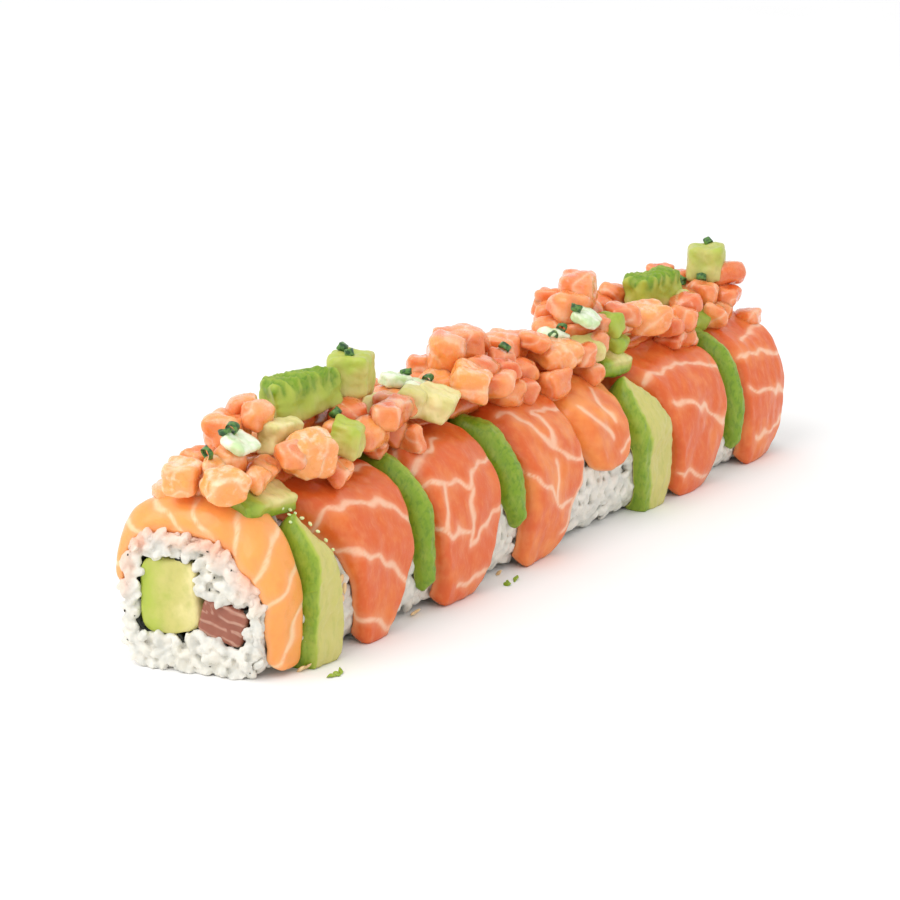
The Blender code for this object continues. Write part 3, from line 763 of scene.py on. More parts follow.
def raw_tuna():
    """Raw tuna, cut across: dusky pink-brown, moist, with pale slanting tissue streaks."""
    made, tree, shader = new_material(
        "raw_tuna", Roughness=0.34, IOR=1.38, Subsurface_Weight=0.2, Subsurface_Scale=0.0018,
        Coat_Weight=0.2, Coat_Roughness=0.15)
    shader.inputs["Subsurface Radius"].default_value = (1.0, 0.35, 0.25)
    streak = carried(tree, "streak")
    body = mixed(tree, noise_value(tree, 3.5), chosen("tuna_dark"), chosen("tuna_light"))
    body = mixed(tree, eased(tree, streak, 0.55, 1.0, 0.0, 0.6), body, "CFA48E")
    tree.links.new(body, shader.inputs["Base Color"])
    bumped(tree, shader, streak, 0.2, 0.5)
    return made


def spring_onion():
    """White of spring onion: crisp, watery and translucent, pale green on its outer curve."""
    made, tree, shader = new_material(
        "spring_onion", Roughness=0.25, IOR=1.36, Subsurface_Weight=0.35, Subsurface_Scale=0.002,
        Coat_Weight=0.3, Coat_Roughness=0.1)
    shader.inputs["Subsurface Radius"].default_value = (0.9, 1.0, 0.7)
    body = mixed(tree, eased(tree, noise_value(tree, 3.0), 0.35, 0.65), "EAF0D8", "C6DDA6")
    tree.links.new(body, shader.inputs["Base Color"])
    bumped(tree, shader, noise_value(tree, 0.8, 2.0, (0.3, 1, 1)), 0.12, 0.4)
    return made


def cut_chive():
    """Chopped chive: a thin dark green tube, waxy outside and paler where it is cut."""
    made, tree, shader = new_material("cut_chive", Roughness=0.35, IOR=1.4, Coat_Weight=0.2)
    body = mixed(tree, eased(tree, noise_value(tree, 1.2), 0.35, 0.65), "1F4A22", "5D8B3F")
    tree.links.new(body, shader.inputs["Base Color"])
    bumped(tree, shader, noise_value(tree, 0.5, 2.0), 0.1, 0.4)
    return made


def toasted_sesame():
    """Hulled sesame, lightly toasted: cream to tan, dry and matt with a fine skin grain."""
    made, tree, shader = new_material("toasted_sesame", Roughness=0.5, IOR=1.47)
    body = mixed(tree, noise_value(tree, 2.0), "D9A866", "F1DDB0")
    tree.links.new(body, shader.inputs["Base Color"])
    bumped(tree, shader, noise_value(tree, 0.4, 2.0), 0.08, 0.4)
    return made


def green_dew():
    """Tiny drops of avocado juice: clear-edged, pale green and glossy."""
    made, tree, shader = new_material(
        "green_dew", Roughness=0.12, IOR=1.35, Subsurface_Weight=0.4, Subsurface_Scale=0.001)
    body = mixed(tree, noise_value(tree, 2.0), "C9DE8E", "EEF2C8")
    tree.links.new(body, shader.inputs["Base Color"])
    return made


def pale_surface():
    """Matt white laminate worktop: even, with no visible grain beyond a faint mottle."""
    made, tree, shader = new_material("pale_surface", Roughness=0.7)
    body = mixed(tree, noise_value(tree, 60.0), "F6F6F6", "FAFAFA")
    tree.links.new(body, shader.inputs["Base Color"])
    return made


MATERIAL_MAKERS = {
    "rice": cooked_rice, "nori": damp_nori, "avocado": ripe_avocado, "salmon": raw_salmon,
    "dice": dressed_salmon, "tuna": raw_tuna, "onion": spring_onion, "chive": cut_chive,
    "sesame": toasted_sesame, "dew": green_dew, "surface": pale_surface,
}
made_materials = {}


def material(name):
    """Each material is made once, when a piece first needs it."""
    if name not in made_materials:
        made_materials[name] = MATERIAL_MAKERS[name]()
    return made_materials[name]


# ---------------------------------------------------------------- rice, nori and fillings

def piece_spans():
    """Front and back of each cut piece, with a kerf between neighbours."""
    edges = [0.0] + CUTS + [ROLL_LENGTH]
    spans = []
    for index, (front, back) in enumerate(zip(edges, edges[1:])):
        front += KERF / 2 if index else 0.0
        back -= KERF / 2 if index < len(CUTS) else 0.0
        spans.append((front, back))
    return spans


def rice_core_piece(front, back, inset, near, far):
    """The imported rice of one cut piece, a little smaller than the grains that cover it."""
    angle = np.linspace(0, 2 * math.pi, 150, endpoint=False)
    lengthwise_step = 1.7
    face_rows = 9
    steps = max(3, round((back - front) / lengthwise_step))
    start = front + (inset if near else 0)
    stop = back - (inset if far else 0)
    rings = [rice_points(x, angle, -inset) for x in np.linspace(start, stop, steps + 1)]
    first, last = rings[0], rings[-1]
    inner_front = outline_points(NORI, start, angle)
    inner_back = outline_points(NORI, stop, angle)
    rows = face_rows if far else 1
    rings += [last + (inner_back - last) * share for share in np.linspace(0, 1, rows + 1)[1:]]
    rows = face_rows if near else 1
    rings += [inner_front + (first - inner_front) * share for share in np.linspace(0, 1, rows + 1)[:-1]]
    rings = np.stack(rings)
    away = rings - np.array([0, NORI.y, NORI.z])
    away[..., 0] = 0
    away /= np.maximum(np.linalg.norm(away, axis=-1, keepdims=True), 1e-6)
    lumps = ripple(rings, 3.0, 21, 0.35) + ripple(rings, 1.7, 22, 0.2)
    rings = rings + away * lumps[..., None]
    rings[..., 0] += ripple(rings, 2.4, 23, 0.4) * (1.0 if near or far else 0.3)
    rings[..., 2] = np.where(rings[..., 2] < 0.9, 0.0, rings[..., 2])
    return loft(rings, closed_path=True)


def grain_axes(long, normal):
    """Right-angled long, wide and thick directions of grains from two rough directions."""
    long = long / np.linalg.norm(long, axis=1, keepdims=True)
    wide = np.cross(normal, long)
    wide /= np.linalg.norm(wide, axis=1, keepdims=True)
    return np.stack([long, wide, np.cross(long, wide)], axis=1)


def spaced_picks(places, spacing, dice, most):
    """Indices of up to this many places, no closer to each other than spacing, in random order."""
    kept = []
    grid = {}
    for index in dice.permutation(len(places)):
        place = places[index]
        key = tuple(int(value // spacing) for value in place)
        near = [other for dx in (-1, 0, 1) for dy in (-1, 0, 1) for dz in (-1, 0, 1)
                for other in grid.get((key[0] + dx, key[1] + dy, key[2] + dz), ())]
        if all(np.sum((places[other] - place) ** 2) >= spacing ** 2 for other in near):
            kept.append(index)
            grid.setdefault(key, []).append(index)
            if len(kept) >= most:
                break
    return np.array(kept)


def grains(centres, long, normal, dice, settings, around, rows):
    """Rice grains at centres, each of its own size, bent and dented a little."""
    count = len(centres)
    base = spindle(around, rows, 0.5)
    flattened = 0.86
    size = dice.uniform(0.85, 1.15, (count, 3))
    size *= np.array([settings.grain_length, settings.grain_width, settings.grain_width * flattened]) / MM
    axes = grain_axes(long, normal)
    shape = copies(base, centres, axes, size)
    bend = (base.points[:, 0] ** 2)[None] * dice.uniform(-1.2, 1.2, (count, 1))
    shape.points += (bend[..., None] * axes[:, 1][:, None]).reshape(-1, 3)
    normals = np.repeat(normal, len(base.points), axis=0)
    shape.points += normals * ripple(shape.points, 2.2, 31, 0.16)[:, None]
    shape.points += roughened(shape.points, 1.6, 32, 0.12)
    shape.points[:, 2] = np.maximum(shape.points[:, 2], GROUND_GAP)
    return shape


def blend_three(values, share):
    """Smooth curve through a value at the start, the middle and the end."""
    first, middle, last = values
    return (first * (1 - share) * (1 - 2 * share) + middle * 4 * share * (1 - share)
            + last * share * (2 * share - 1))


def edge_position(values, angle, end):
    """X of a slice's edge: level over the ridge, then down the side to its end in degrees."""
    share = np.clip((angle - RIDGE_ANGLE) / (math.radians(end) - RIDGE_ANGLE), 0, 1)
    return blend_three(values, share)


def depth_under_slices(x, angle):
    """How far in mm a place on the rice lies inside the nearest slice's edge; negative if bare."""
    deepest = np.full(np.shape(x), -9.0)
    for cut in SLICES:
        front = edge_position(cut.front, angle, cut.end)
        back = edge_position(cut.back, angle, cut.end)
        reach = outline_reach(RICE, angle)
        ends = np.minimum(angle - math.radians(cut.start), math.radians(cut.end) - angle) * reach
        deepest = np.maximum(deepest, np.minimum(np.minimum(x - front, back - x), ends))
    return deepest


def outside_of(outline, y, z):
    """Distance of places from an outline's edge, negative inside it."""
    y, z = y - outline.y, z - outline.z
    return np.hypot(y, z) - outline_reach(outline, np.arctan2(z, y))


def face_places(dice, spacing):
    """Places and directions for the grains of a cut face, in Y and Z, between rice and nori."""
    tries = 9000
    filling_gap = 0.8
    y = dice.uniform(-21, 20, tries)
    z = dice.uniform(0.8, 33, tries)
    angle = np.arctan2(z - RICE.z, y)
    rim = rice_points(np.full(tries, 0.5), angle, -0.4)
    keep = np.hypot(y, z - RICE.z) < np.hypot(rim[:, 1], rim[:, 2] - RICE.z)
    keep &= outside_of(NORI, y, z) > -7
    keep &= outside_of(AVOCADO_CORE, y, z) > filling_gap
    across, rise = y - TUNA_CORE.y, z - TUNA_CORE.z
    turned_y = across * math.cos(TUNA_TILT) + rise * math.sin(TUNA_TILT)
    turned_z = rise * math.cos(TUNA_TILT) - across * math.sin(TUNA_TILT)
    keep &= outside_of(TUNA_CORE, turned_y + TUNA_CORE.y, turned_z + TUNA_CORE.z) > filling_gap
    for gap_y, gap_z, radius in FACE_GAPS:
        keep &= np.hypot(y - gap_y, z - gap_z) > radius + filling_gap
    places = np.stack([np.zeros(keep.sum()), y[keep], z[keep]], axis=-1)
    chosen = spaced_picks(places, spacing, dice, 400)
    return places[chosen], angle[keep][chosen]


def face_grains(dice, settings, x, outwards, spacing, around, rows):
    """Two loose layers of grains over one cut face."""
    layers = []
    for depth, gap in ((-0.5, spacing), (0.5, spacing * 1.1)):
        places, angle = face_places(dice, gap)
        count = len(places)
        centres = places.copy()
        centres[:, 0] = skewed_x(np.full(count, x), centres[:, 1]) if outwards < 0 else x
        centres[:, 0] += outwards * (depth - 0.6 + dice.uniform(-0.3, 0.3, count))
        turn = angle + math.pi / 2 + dice.normal(0, 0.9, count)
        lean = dice.normal(0, 0.5, count)
        long = np.stack([lean, np.cos(turn), np.sin(turn)], axis=-1)
        normal = np.tile([float(outwards), 0.0, 0.0], (count, 1)) + dice.normal(0, 0.15, (count, 3))
        layers.append(grains(centres, long, normal, dice, settings, around, rows))
    return join(layers)


def side_grains(dice, settings):
    """Grains over every bare stretch of the rice's sides."""
    tries = 60000
    most = 1500
    x = dice.uniform(0.8, ROLL_LENGTH - 0.8, tries)
    angle = dice.uniform(-math.radians(46), math.radians(226), tries)
    place = rice_points(x, angle, -0.75)
    wrapped = np.where(angle < 0, angle + 2 * math.pi, angle)
    depth = np.maximum(depth_under_slices(x, angle), depth_under_slices(x, wrapped))
    keep = (depth < 1.5) & (place[:, 2] > 0.9)
    x, angle, place = x[keep], angle[keep], place[keep]
    chosen = spaced_picks(place, SIDE_SPACING, dice, most)
    x, angle, place = x[chosen], angle[chosen], place[chosen]
    normal = rice_points(x, angle, 0.45) - place
    normal[:, 0] = 0
    normal /= np.linalg.norm(normal, axis=1, keepdims=True)
    along = np.array([1.0, 0, 0])
    turn = dice.uniform(0, math.pi, len(x))[:, None]
    long = along * np.cos(turn) + np.cross(normal, along) * np.sin(turn)
    long = long + normal * dice.normal(0, 0.12, (len(x), 1))
    place = place + normal * dice.uniform(-0.35, 0.4, (len(x), 1))
    return grains(place, long, normal, dice, settings, around=9, rows=6)


def fused(shape, cell, kept):
    """Melt overlapping grains into one sticky skin, on cells of this size in mm, and thin it out
    to a share of its faces."""
    mesh = bpy.data.meshes.new("fusing")
    mesh.from_pydata((shape.points * MM).tolist(), [], shape.quads.tolist() + shape.tris.tolist())
    lump = bpy.data.objects.new("fusing", mesh)
    bpy.context.scene.collection.objects.link(lump)
    melt = lump.modifiers.new("melt", "REMESH")
    melt.mode = "VOXEL"
    melt.voxel_size = cell * MM
    soften = lump.modifiers.new("soften", "SMOOTH")
    soften.factor = 0.5
    soften.iterations = 1
    thin = lump.modifiers.new("thin", "DECIMATE")
    thin.ratio = kept
    found = bpy.data.meshes.new_from_object(lump.evaluated_get(bpy.context.evaluated_depsgraph_get()))
    points = np.empty(len(found.vertices) * 3)
    found.vertices.foreach_get("co", points)
    found.calc_loop_triangles()
    tris = np.empty(len(found.loop_triangles) * 3, np.int32)
    found.loop_triangles.foreach_get("vertices", tris)
    bpy.data.objects.remove(lump)
    bpy.data.meshes.remove(mesh)
    bpy.data.meshes.remove(found)
    return Shape(points.reshape(-1, 3) / MM, tris=tris.reshape(-1, 3))


def stained(shape):
    """Rice touching salmon takes up a faint pink; the rest stays white."""
    x, y, z = shape.points.T
    angle = np.arctan2(z - RICE.z, y) % (2 * math.pi)
    over = np.hypot(y, z - RICE.z) - outline_reach(RICE_NEAR, angle)
    patchy = 0.75 + ripple(shape.points, 7.0, 35, 0.25)
    near_slice = smooth_step(-4.5, 0.0, over) * smooth_step(14, 22, z) * (x < CUTS[0])
    shape.values["stain"] = np.clip(0.8 * near_slice * patchy, 0, 1)
    return shape


def specks(dice, centres, normal, size):
    """Small thin torn flakes."""
    count = len(centres)
    base = spindle(6, 3, 0.5)
    long = np.cross(normal, dice.normal(size=(count, 3)))
    scale = np.array(size) * dice.uniform(0.6, 1.4, (count, 3))
    return copies(base, centres, grain_axes(long, normal), scale)


def filling_bar(outline, front, back, tilt):
    """A strip of filling with soft edges and an uneven cut face at both ends."""
    angle = np.linspace(0, 2 * math.pi, 56, endpoint=False)
    ends = [(0.15, 0.25), (0.12, 0.5), (0.1, 0.72), (0.1, 0.88), (0.25, 0.96), (0.8, 1.0)]
    stations = [(front + depth, scale) for depth, scale in ends]
    stations += [(x, 1.0) for x in np.linspace(front + 2, back - 2, max(2, round((back - front) / 4)))]
    stations += [(back - depth, scale) for depth, scale in reversed(ends)]
    ring = outline_points(outline, 0.0, angle)
    across, rise = ring[:, 1] - outline.y, ring[:, 2] - outline.z
    rings = []
    for x, scale in stations:
        y = outline.y + scale * (across * math.cos(tilt) - rise * math.sin(tilt))
        z = outline.z + scale * (across * math.sin(tilt) + rise * math.cos(tilt))
        rings.append(np.stack([skewed_x(np.full(len(angle), x), y), y, z], axis=-1))
    shape = loft(np.stack(rings))
    bulge = ripple(shape.points, 6.0, 41, 0.22) + ripple(shape.points, 2.2, 42, 0.08)
    shape.points += bulge[:, None] * np.array([0.8, 0.5, 0.6])
    return shape


# ---------------------------------------------------------------- draped slices

def slice_thickness(cut, x, angle, share):
    """Radial thickness of a slice, thinner towards its two ends."""
    thinnest = 2.2
    rice = np.where(x < CUTS[0], outline_reach(RICE_NEAR, angle), outline_reach(RICE, angle))
    full = np.maximum(outline_reach(cut.outline, angle) - rice - TOUCH_GAP, thinnest)
    if cut.kind == "arc":
        taper = 0.25 + 2.2 * np.sin(math.pi * np.clip(share, 0, 1)) ** 0.8
    else:
        taper = 0.55 + 4.2 * np.minimum(share, 1 - share) ** 0.6
    return full * np.minimum(1.0, taper) + 0.3 * np.sin(5 * angle + 0.04 * x)


def curve_through(points, per_span=6):
    """A smooth curve through a few given points."""
    points = np.array(points, float)
    ends = np.concatenate([[2 * points[0] - points[1]], points, [2 * points[-1] - points[-2]]])
    found = []
    for p0, p1, p2, p3 in zip(ends, ends[1:], ends[2:], ends[3:]):
        for t in np.linspace(0, 1, per_span, endpoint=False):
            found.append(0.5 * (2 * p1 + (p2 - p0) * t + (2 * p0 - 5 * p1 + 4 * p2 - p3) * t ** 2
                                + (3 * p1 - p0 - 3 * p2 + p3) * t ** 3))
    found.append(points[-1])
    return np.array(found)


def distance_to_lines(places, lines):
    """Distance from flat places to the nearest of some curves."""
    nearest = np.full(len(places), 99.0)
    for line in lines:
        for start, stop in zip(line, line[1:]):
            way = stop - start
            share = np.clip((places - start) @ way / max(way @ way, 1e-9), 0, 1)
            nearest = np.minimum(nearest, np.linalg.norm(places - start - share[:, None] * way, axis=1))
    return nearest


def hidden_side_lines(cut):
    """Fat lines for the far side of a slice, bowed across it like those in front."""
    front, back = cut.front[0], cut.back[0]
    dice = np.random.default_rng(name_seed(cut.name))
    lines = []
    for level in (20, 42, 62, 84):
        turns = level + dice.uniform(-9, 9, 3)
        middle = front + (back - front) * dice.uniform(0.3, 0.7)
        lines.append([(front, turns[0]), (middle, turns[1]), (back, turns[2])])
    return lines


def curved_edge(edge, angle):
    """X of a leaf's edge at each angle, smooth through its listed points."""
    points = curve_through([(x, turn) for turn, x in edge], 8)
    return np.interp(np.degrees(angle), points[:, 1], points[:, 0])


# How each kind of slice lies: how far past its marked end it reaches down where it goes to
# the ground, in degrees, how rounded its front and back edges are for its thickness, how far
# it closes up on its neighbours, and how rounded its upper and lower ends are, in mm.
Laid = namedtuple("Laid", "reach_down front_radius back_radius overlap start_radius foot_radius")
LAID = {
    "salmon": Laid(8, 0.55, 0.42, 0.5, 6.0, 3.5),
    "leaf": Laid(16, 0.3, 0.5, 0.0, 3.0, 2.0),
    "arc": Laid(3, 1.0, 1.0, 0.4, 9.0, 8.0),
}


def drawn_in(from_end, radius):
    """How far a rounded end draws in: from 1 at the very end to 0 at its radius and beyond."""
    return 1 - np.sqrt(1 - (1 - np.clip(from_end / radius, 0, 1)) ** 2)


def slice_edges(cut, angle, from_start, from_foot):
    """X of a slice's front and back edges at each angle, drawn in at its two ends."""
    laid = LAID[cut.kind]
    if cut.kind == "leaf":
        front, back = (curved_edge(edge, angle) for edge in LEAF_EDGES[cut.name])
    else:
        front = edge_position(cut.front, angle, cut.end)
        back = edge_position(cut.back, angle, cut.end)
    if cut is not SLICES[0]:
        front = front - laid.overlap
    back = back + laid.overlap
    tuck = 0.85 * (drawn_in(from_start, laid.start_radius) + drawn_in(from_foot, laid.foot_radius))
    middle = (front + back) / 2
    front = front + (middle - front) * tuck
    back = back + (middle - back) * tuck
    spots = np.stack([front, angle * 21, np.zeros_like(angle)], axis=-1)
    seed = name_seed(cut.name)
    return front + ripple(spots, 9.0, seed, 0.25), back + ripple(spots, 9.0, seed + 1, 0.25)


def slice_profile(cut, width, thick, step):
    """A slice's section: how far across each point lies, and how high for the slice's thickness;
    from the front edge over the top to the back edge, and then back beneath."""
    laid = LAID[cut.kind]
    front_radius = 0.95 if cut is SLICES[0] else laid.front_radius
    near = np.minimum(front_radius * thick, width * 0.42)
    far = np.minimum(laid.back_radius * thick, width * 0.42)
    lip = 0.12
    quarter = np.linspace(0, math.pi / 2, 7)
    rounding = [lip + (1 - lip) * math.sin(turn) for turn in quarter]
    top = np.linspace(0, 1, max(6, int(width.max() / step)) + 1)[1:-1]
    beneath = np.linspace(1, 0, 7)
    across = [near * (1 - np.cos(turn)) for turn in quarter]
    across += [near + (width - near - far) * share for share in top]
    across += [width - far * (1 - np.cos(turn)) for turn in quarter[::-1]]
    top_count = len(across)
    across += [width * share for share in beneath]
    rise = rounding + [1.0] * len(top) + rounding[::-1] + [0.0] * len(beneath)
    return np.concatenate(np.broadcast_arrays(*across), axis=1), np.array(rise), top_count


def distance_to_fat(cut, flat, flesh, angle, arc):
    """Distance of each point of the flesh from the slice's nearest fat line, over the flesh."""
    marked = FAT_LINES[cut.name]
    if cut is not SLICES[0]:
        marked = marked + hidden_side_lines(cut)
    lines = []
    for line in marked:
        line = np.array(line, float)
        line[:, 1] = np.interp(np.radians(line[:, 1]), angle, arc)
        lines.append(curve_through(line))
    wander = np.stack([ripple(flesh, 8.0, 51, 0.5), ripple(flesh, 7.0, 52, 0.5)], axis=-1)
    return distance_to_lines(flat + wander, lines)


def avocado_ripeness_and_highlight(cut, travelled, behind, thick, share, across):
    """How far avocado runs from skin green to yellow: green along the edge that had the skin; on the
    crescents it also carries a painted highlight, a lighter streak high on the crown.
    """
    if cut.kind == "leaf":
        return 0.1 + 0.62 * smooth_step(3.4, 5.2, travelled - thick * 0.55)
    pale = 0.85 * smooth_step(2.6, 0.7, behind) * smooth_step(0, 0.35, np.sin(math.pi * share))
    # Painted highlight: a lighter lime streak high on the crescent's crown, standing in for light falling on
    # it.
    light = 0.22 * np.exp(-((share - 0.3) / 0.22) ** 2) * smooth_step(0.2, 0.6, across)
    return np.maximum(pale, light)


def slice_shape(cut, step):
    """A slice draped over the rice: crowned, round-edged, with soft ends and sunken fat lines."""
    first = LEAF_EDGES[cut.name][0][0][0] if cut.kind == "leaf" else cut.start
    last = cut.end + (LAID[cut.kind].reach_down if cut.end >= LOW_END else 0)
    start, end = math.radians(first), math.radians(last)
    arc_length = SLICE_REACH * (end - start)
    share = np.linspace(0, 1, int(arc_length / step) + 1)
    angle = start + (end - start) * share
    from_start, from_foot = share * arc_length, (1 - share) * arc_length
    front, back = slice_edges(cut, angle, from_start, from_foot)
    width = (back - front)[:, None]
    thick = slice_thickness(cut, (front + back) / 2, angle, share)[:, None]
    across, rise, top_count = slice_profile(cut, width, thick, step)
    crown = 1 - 0.10 * np.abs(across / width * 2 - 1) ** 2.5
    points = rice_points(front[:, None] + across, angle[:, None], TOUCH_GAP + thick * rise * crown)
    flesh = points.reshape(-1, 3)

    # Distances over the flesh: along the section from either edge, and down along the arc.
    strides = np.linalg.norm(np.diff(points, axis=1), axis=-1)
    travelled = np.concatenate([np.zeros((len(angle), 1)), np.cumsum(strides, axis=1)], axis=1)
    behind = travelled[:, top_count - 1:top_count] - travelled
    crest = points[:, top_count // 2]
    arc = np.concatenate([[0], np.cumsum(np.linalg.norm(np.diff(crest, axis=0), axis=-1))])

    seed = name_seed(cut.name)
    outwards = ripple(flesh, 13.0, seed + 2, 0.3) + ripple(flesh, 4.0, seed + 3, 0.07)
    if cut.kind == "salmon":
        topside = np.tile(np.arange(points.shape[1]) < top_count, len(angle))
        along = front[:, None] + travelled - thick * 0.8
        flat = np.stack([along, np.broadcast_to(arc[:, None], along.shape)], axis=-1).reshape(-1, 2)
        seam = np.where(topside, distance_to_fat(cut, flat, flesh, angle, arc), NO_SEAM)
        # Distance from the slice's edges over its top, which the salmon material uses for a painted highlight
        # along them.
        from_edge = np.minimum(np.minimum(travelled, behind), np.minimum(from_start, from_foot)[:, None])
        values = {"seam": seam, "tone": np.full(len(flesh), cut.tone),
                  "margin": np.where(topside, from_edge.reshape(-1), 0.0)}
        outwards += 0.28 * (1 - np.exp(-seam / 1.6)) - 0.2
    else:
        ripe = avocado_ripeness_and_highlight(cut, travelled, behind, thick, share[:, None], across / width)
        values = {"ripe": ripe.reshape(-1)}
        outwards += ripple(flesh, 2.2, seed + 4, 0.1)
    away = flesh - np.array([0, 0, RICE.z])
    away[:, 0] = 0
    away /= np.linalg.norm(away, axis=1, keepdims=True)
    flesh = flesh + away * (outwards * np.tile(rise, len(angle)))[:, None]
    flesh[:, 2] = np.maximum(flesh[:, 2], 0.05)
    shape = loft(flesh.reshape(points.shape))
    shape.values = {name: np.concatenate([value, value[:1], value[-1:]]) for name, value in values.items()}
    return shape


# ---------------------------------------------------------------- dice and trimmings

def dice_block(size, turn, centre, seed, power=8.0, divisions=12, jitter=0.22, wedge=0.0):
    """One knife-cut block with uneven corners, softly rounded edges and sunken seams. A higher power
    leaves sharper edges, and wedge is how much of its height it loses along its length."""
    dice = np.random.default_rng(seed)
    base = rounded_block(divisions, power)
    corners = dice.uniform(-jitter, jitter, (2, 2, 2, 3))
    weights = (base.points + 1) / 2
    own = base.points.copy()
    for corner in np.ndindex(2, 2, 2):
        share = np.prod(np.abs(1 - np.array(corner) - weights), axis=1)
        own += share[:, None] * corners[corner]
    own[:, 2] *= 1 - wedge * weights[:, 0]
    own *= np.array(size) / 2
    seam_normal = dice.normal(size=3)
    seam_normal /= np.linalg.norm(seam_normal)
    seam_place = dice.uniform(-2.5, 2.5)
    layer = own @ seam_normal + ripple(own, 7.0, seed + 1, 0.8)
    layer_gap = 6.0
    seam = np.minimum(np.abs(layer - seam_place), np.abs(layer - seam_place - layer_gap))
    outwards = base.points / np.linalg.norm(base.points, axis=1, keepdims=True)
    dents = ripple(own, 5.5, seed + 2, 0.26) + ripple(own, 1.9, seed + 3, 0.06)
    own += outwards * (dents - 0.15 * np.exp(-(seam / 0.7) ** 2))[:, None]
    shape = Shape(own @ turn + np.asarray(centre), base.quads)
    shape.values["seam"] = seam + 0.4
    # Distance from the block's edges, which the salmon dice use for a painted highlight along them.
    flatness = np.sort(np.abs(base.points), axis=1)
    shape.values["margin"] = (1 - flatness[:, 1]) * min(size) * 0.5
    shape.values["own_z"] = own[:, 2] / size[2] + 0.5
    return shape


def with_values(shape, **values):
    """Set constant or given values on a shape's points."""
    for name, value in values.items():
        shape.values[name] = np.broadcast_to(np.asarray(value, float), len(shape.points)).copy()
    return shape


def only_values(shape, *names):
    """Keep only the values that the piece's material reads."""
    shape.values = {name: shape.values[name] for name in names}
    return shape


def chunk_shape(chunk, seed):
    """The visible form of one large die, at its node's place."""
    low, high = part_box(chunk.name)
    centre = ((low + high) / 2 - Vector((NEAR_END, 0, 0))) / MM
    power = 7.5 if chunk.kind == "avocado" else 5.0
    shape = dice_block(chunk.size, turn_matrix(chunk.tilt, chunk.spin), centre, seed, power, divisions=20)
    if chunk.kind == "salmon":
        return only_values(with_values(shape, tone=chunk.tone), "seam", "margin", "tone")
    depth = 1 - shape.values["own_z"]
    ripe = chunk.tone + (0.95 - chunk.tone) * 0.75 * depth + ripple(shape.points, 5.0, seed, 0.06)
    if chunk.tone < 0:
        waves = np.sin(shape.points[:, 0] * 2.1 + shape.points[:, 1] * 0.5)
        ridge = waves * smooth_step(0.5, 0.9, 1 - depth)
        shape.points[:, 2] += 0.55 * ridge
        ripe = ripe + 0.22 * ridge
    return only_values(with_values(shape, ripe=ripe), "ripe")


def heap_crest(x):
    """How much taller than elsewhere the heap stands at this x."""
    return sum(height * math.exp(-((x - middle) / spread) ** 2) for middle, height, spread in CRESTS)


def dropped_bit(dice):
    """One small die of a random kind and size, somewhere over the ridge."""
    kind = dice.choice(["salmon", "yellow", "green"], p=[0.86, 0.08, 0.06])
    x = dice.uniform(BED_START - 2, BED_END + 1)
    y = dice.uniform(-9, 15)
    size = dice.uniform((6.0, 5.0, 4.5), (11.5, 8.5, 7.5))
    tilt = dice.uniform(-25, 25)
    spin = dice.uniform(0, 180)
    coral = 0.1 + 0.4 * min(1.0, x / 60) + dice.uniform(0, 0.35)
    return Bit(str(kind), x, y, size, tilt, spin, coral)


def heap_bits(dice):
    """Small dice over the ridge, each settled on what already lies there."""
    salmon, avocado = [], []
    dropped = [dropped_bit(dice) for _ in range(DICE_DROPPED)]
    for number, bit in enumerate(PLACED_BITS + dropped):
        turn = turn_matrix(bit.tilt, bit.spin)
        place = (bit.x, bit.y, 0)
        die = dice_block(bit.size, turn, place, 600 + number, power=3.6, divisions=10, jitter=0.3)
        ground = heights.under(die.points, 0.35)
        full = BED_TOP + heap_crest(bit.x) - 0.45 * max(0, -3 - bit.y)
        if number >= len(PLACED_BITS) and ground > full:
            continue
        die.points[:, 2] += ground - die.points[:, 2].min() - 0.22 * bit.size[2]
        heights.add(die.points)
        if bit.kind == "salmon":
            salmon.append(only_values(with_values(die, tone=bit.tone), "seam", "margin", "tone"))
        else:
            ripe = {"yellow": 1.0, "green": 0.35}[bit.kind] + 0.3 * (0.5 - die.values["own_z"])
            avocado.append(only_values(with_values(die, ripe=ripe), "ripe"))
    return join(salmon), join(avocado)


def bed_core_shape():
    """A low mound that the small dice lie on, smaller than the heap's own outline."""
    columns = 12
    angle = np.radians(np.linspace(BED_LEFT + 1, BED_RIGHT - 1, columns))
    mound = np.sin(math.pi * np.linspace(0.05, 0.95, columns))
    rings = []
    for x in np.arange(BED_START + 1, BED_END - 1, 2.0):
        ends = min(1.0, 0.3 + (x - BED_START) / 12, 0.3 + (BED_END - x) / 12)
        rise = (2.6 + 0.95 * heap_crest(x)) * mound * ends
        under = outline_points(DRAPE, x, angle, -0.6)
        over = outline_points(DRAPE, x, angle, 0.2 + rise)
        rings.append(np.concatenate([under, over[::-1]]))
    shape = loft(np.stack(rings))
    shape.points[:, 2] += ripple(shape.points, 5.0, 71, 0.4)
    return with_values(shape, tone=0.7, seam=NO_SEAM, margin=NO_SEAM)


def tube_ring(radius, wall, length, around=20):
    """A short length of thin-walled tube along X, in mm."""
    angle = np.linspace(0, 2 * math.pi, around, endpoint=False)
    profile = [(-0.5, 0.0), (-0.4, 0.5), (0.4, 0.5), (0.5, 0.0), (0.4, -0.5), (-0.4, -0.5)]
    rings = []
    for along, out in profile:
        reach = radius + (out - 0.5) * wall
        x = np.full(around, along * length)
        rings.append(np.stack([x, reach * np.cos(angle), reach * np.sin(angle)], axis=-1))
    return loft(np.stack(rings), closed_path=True)


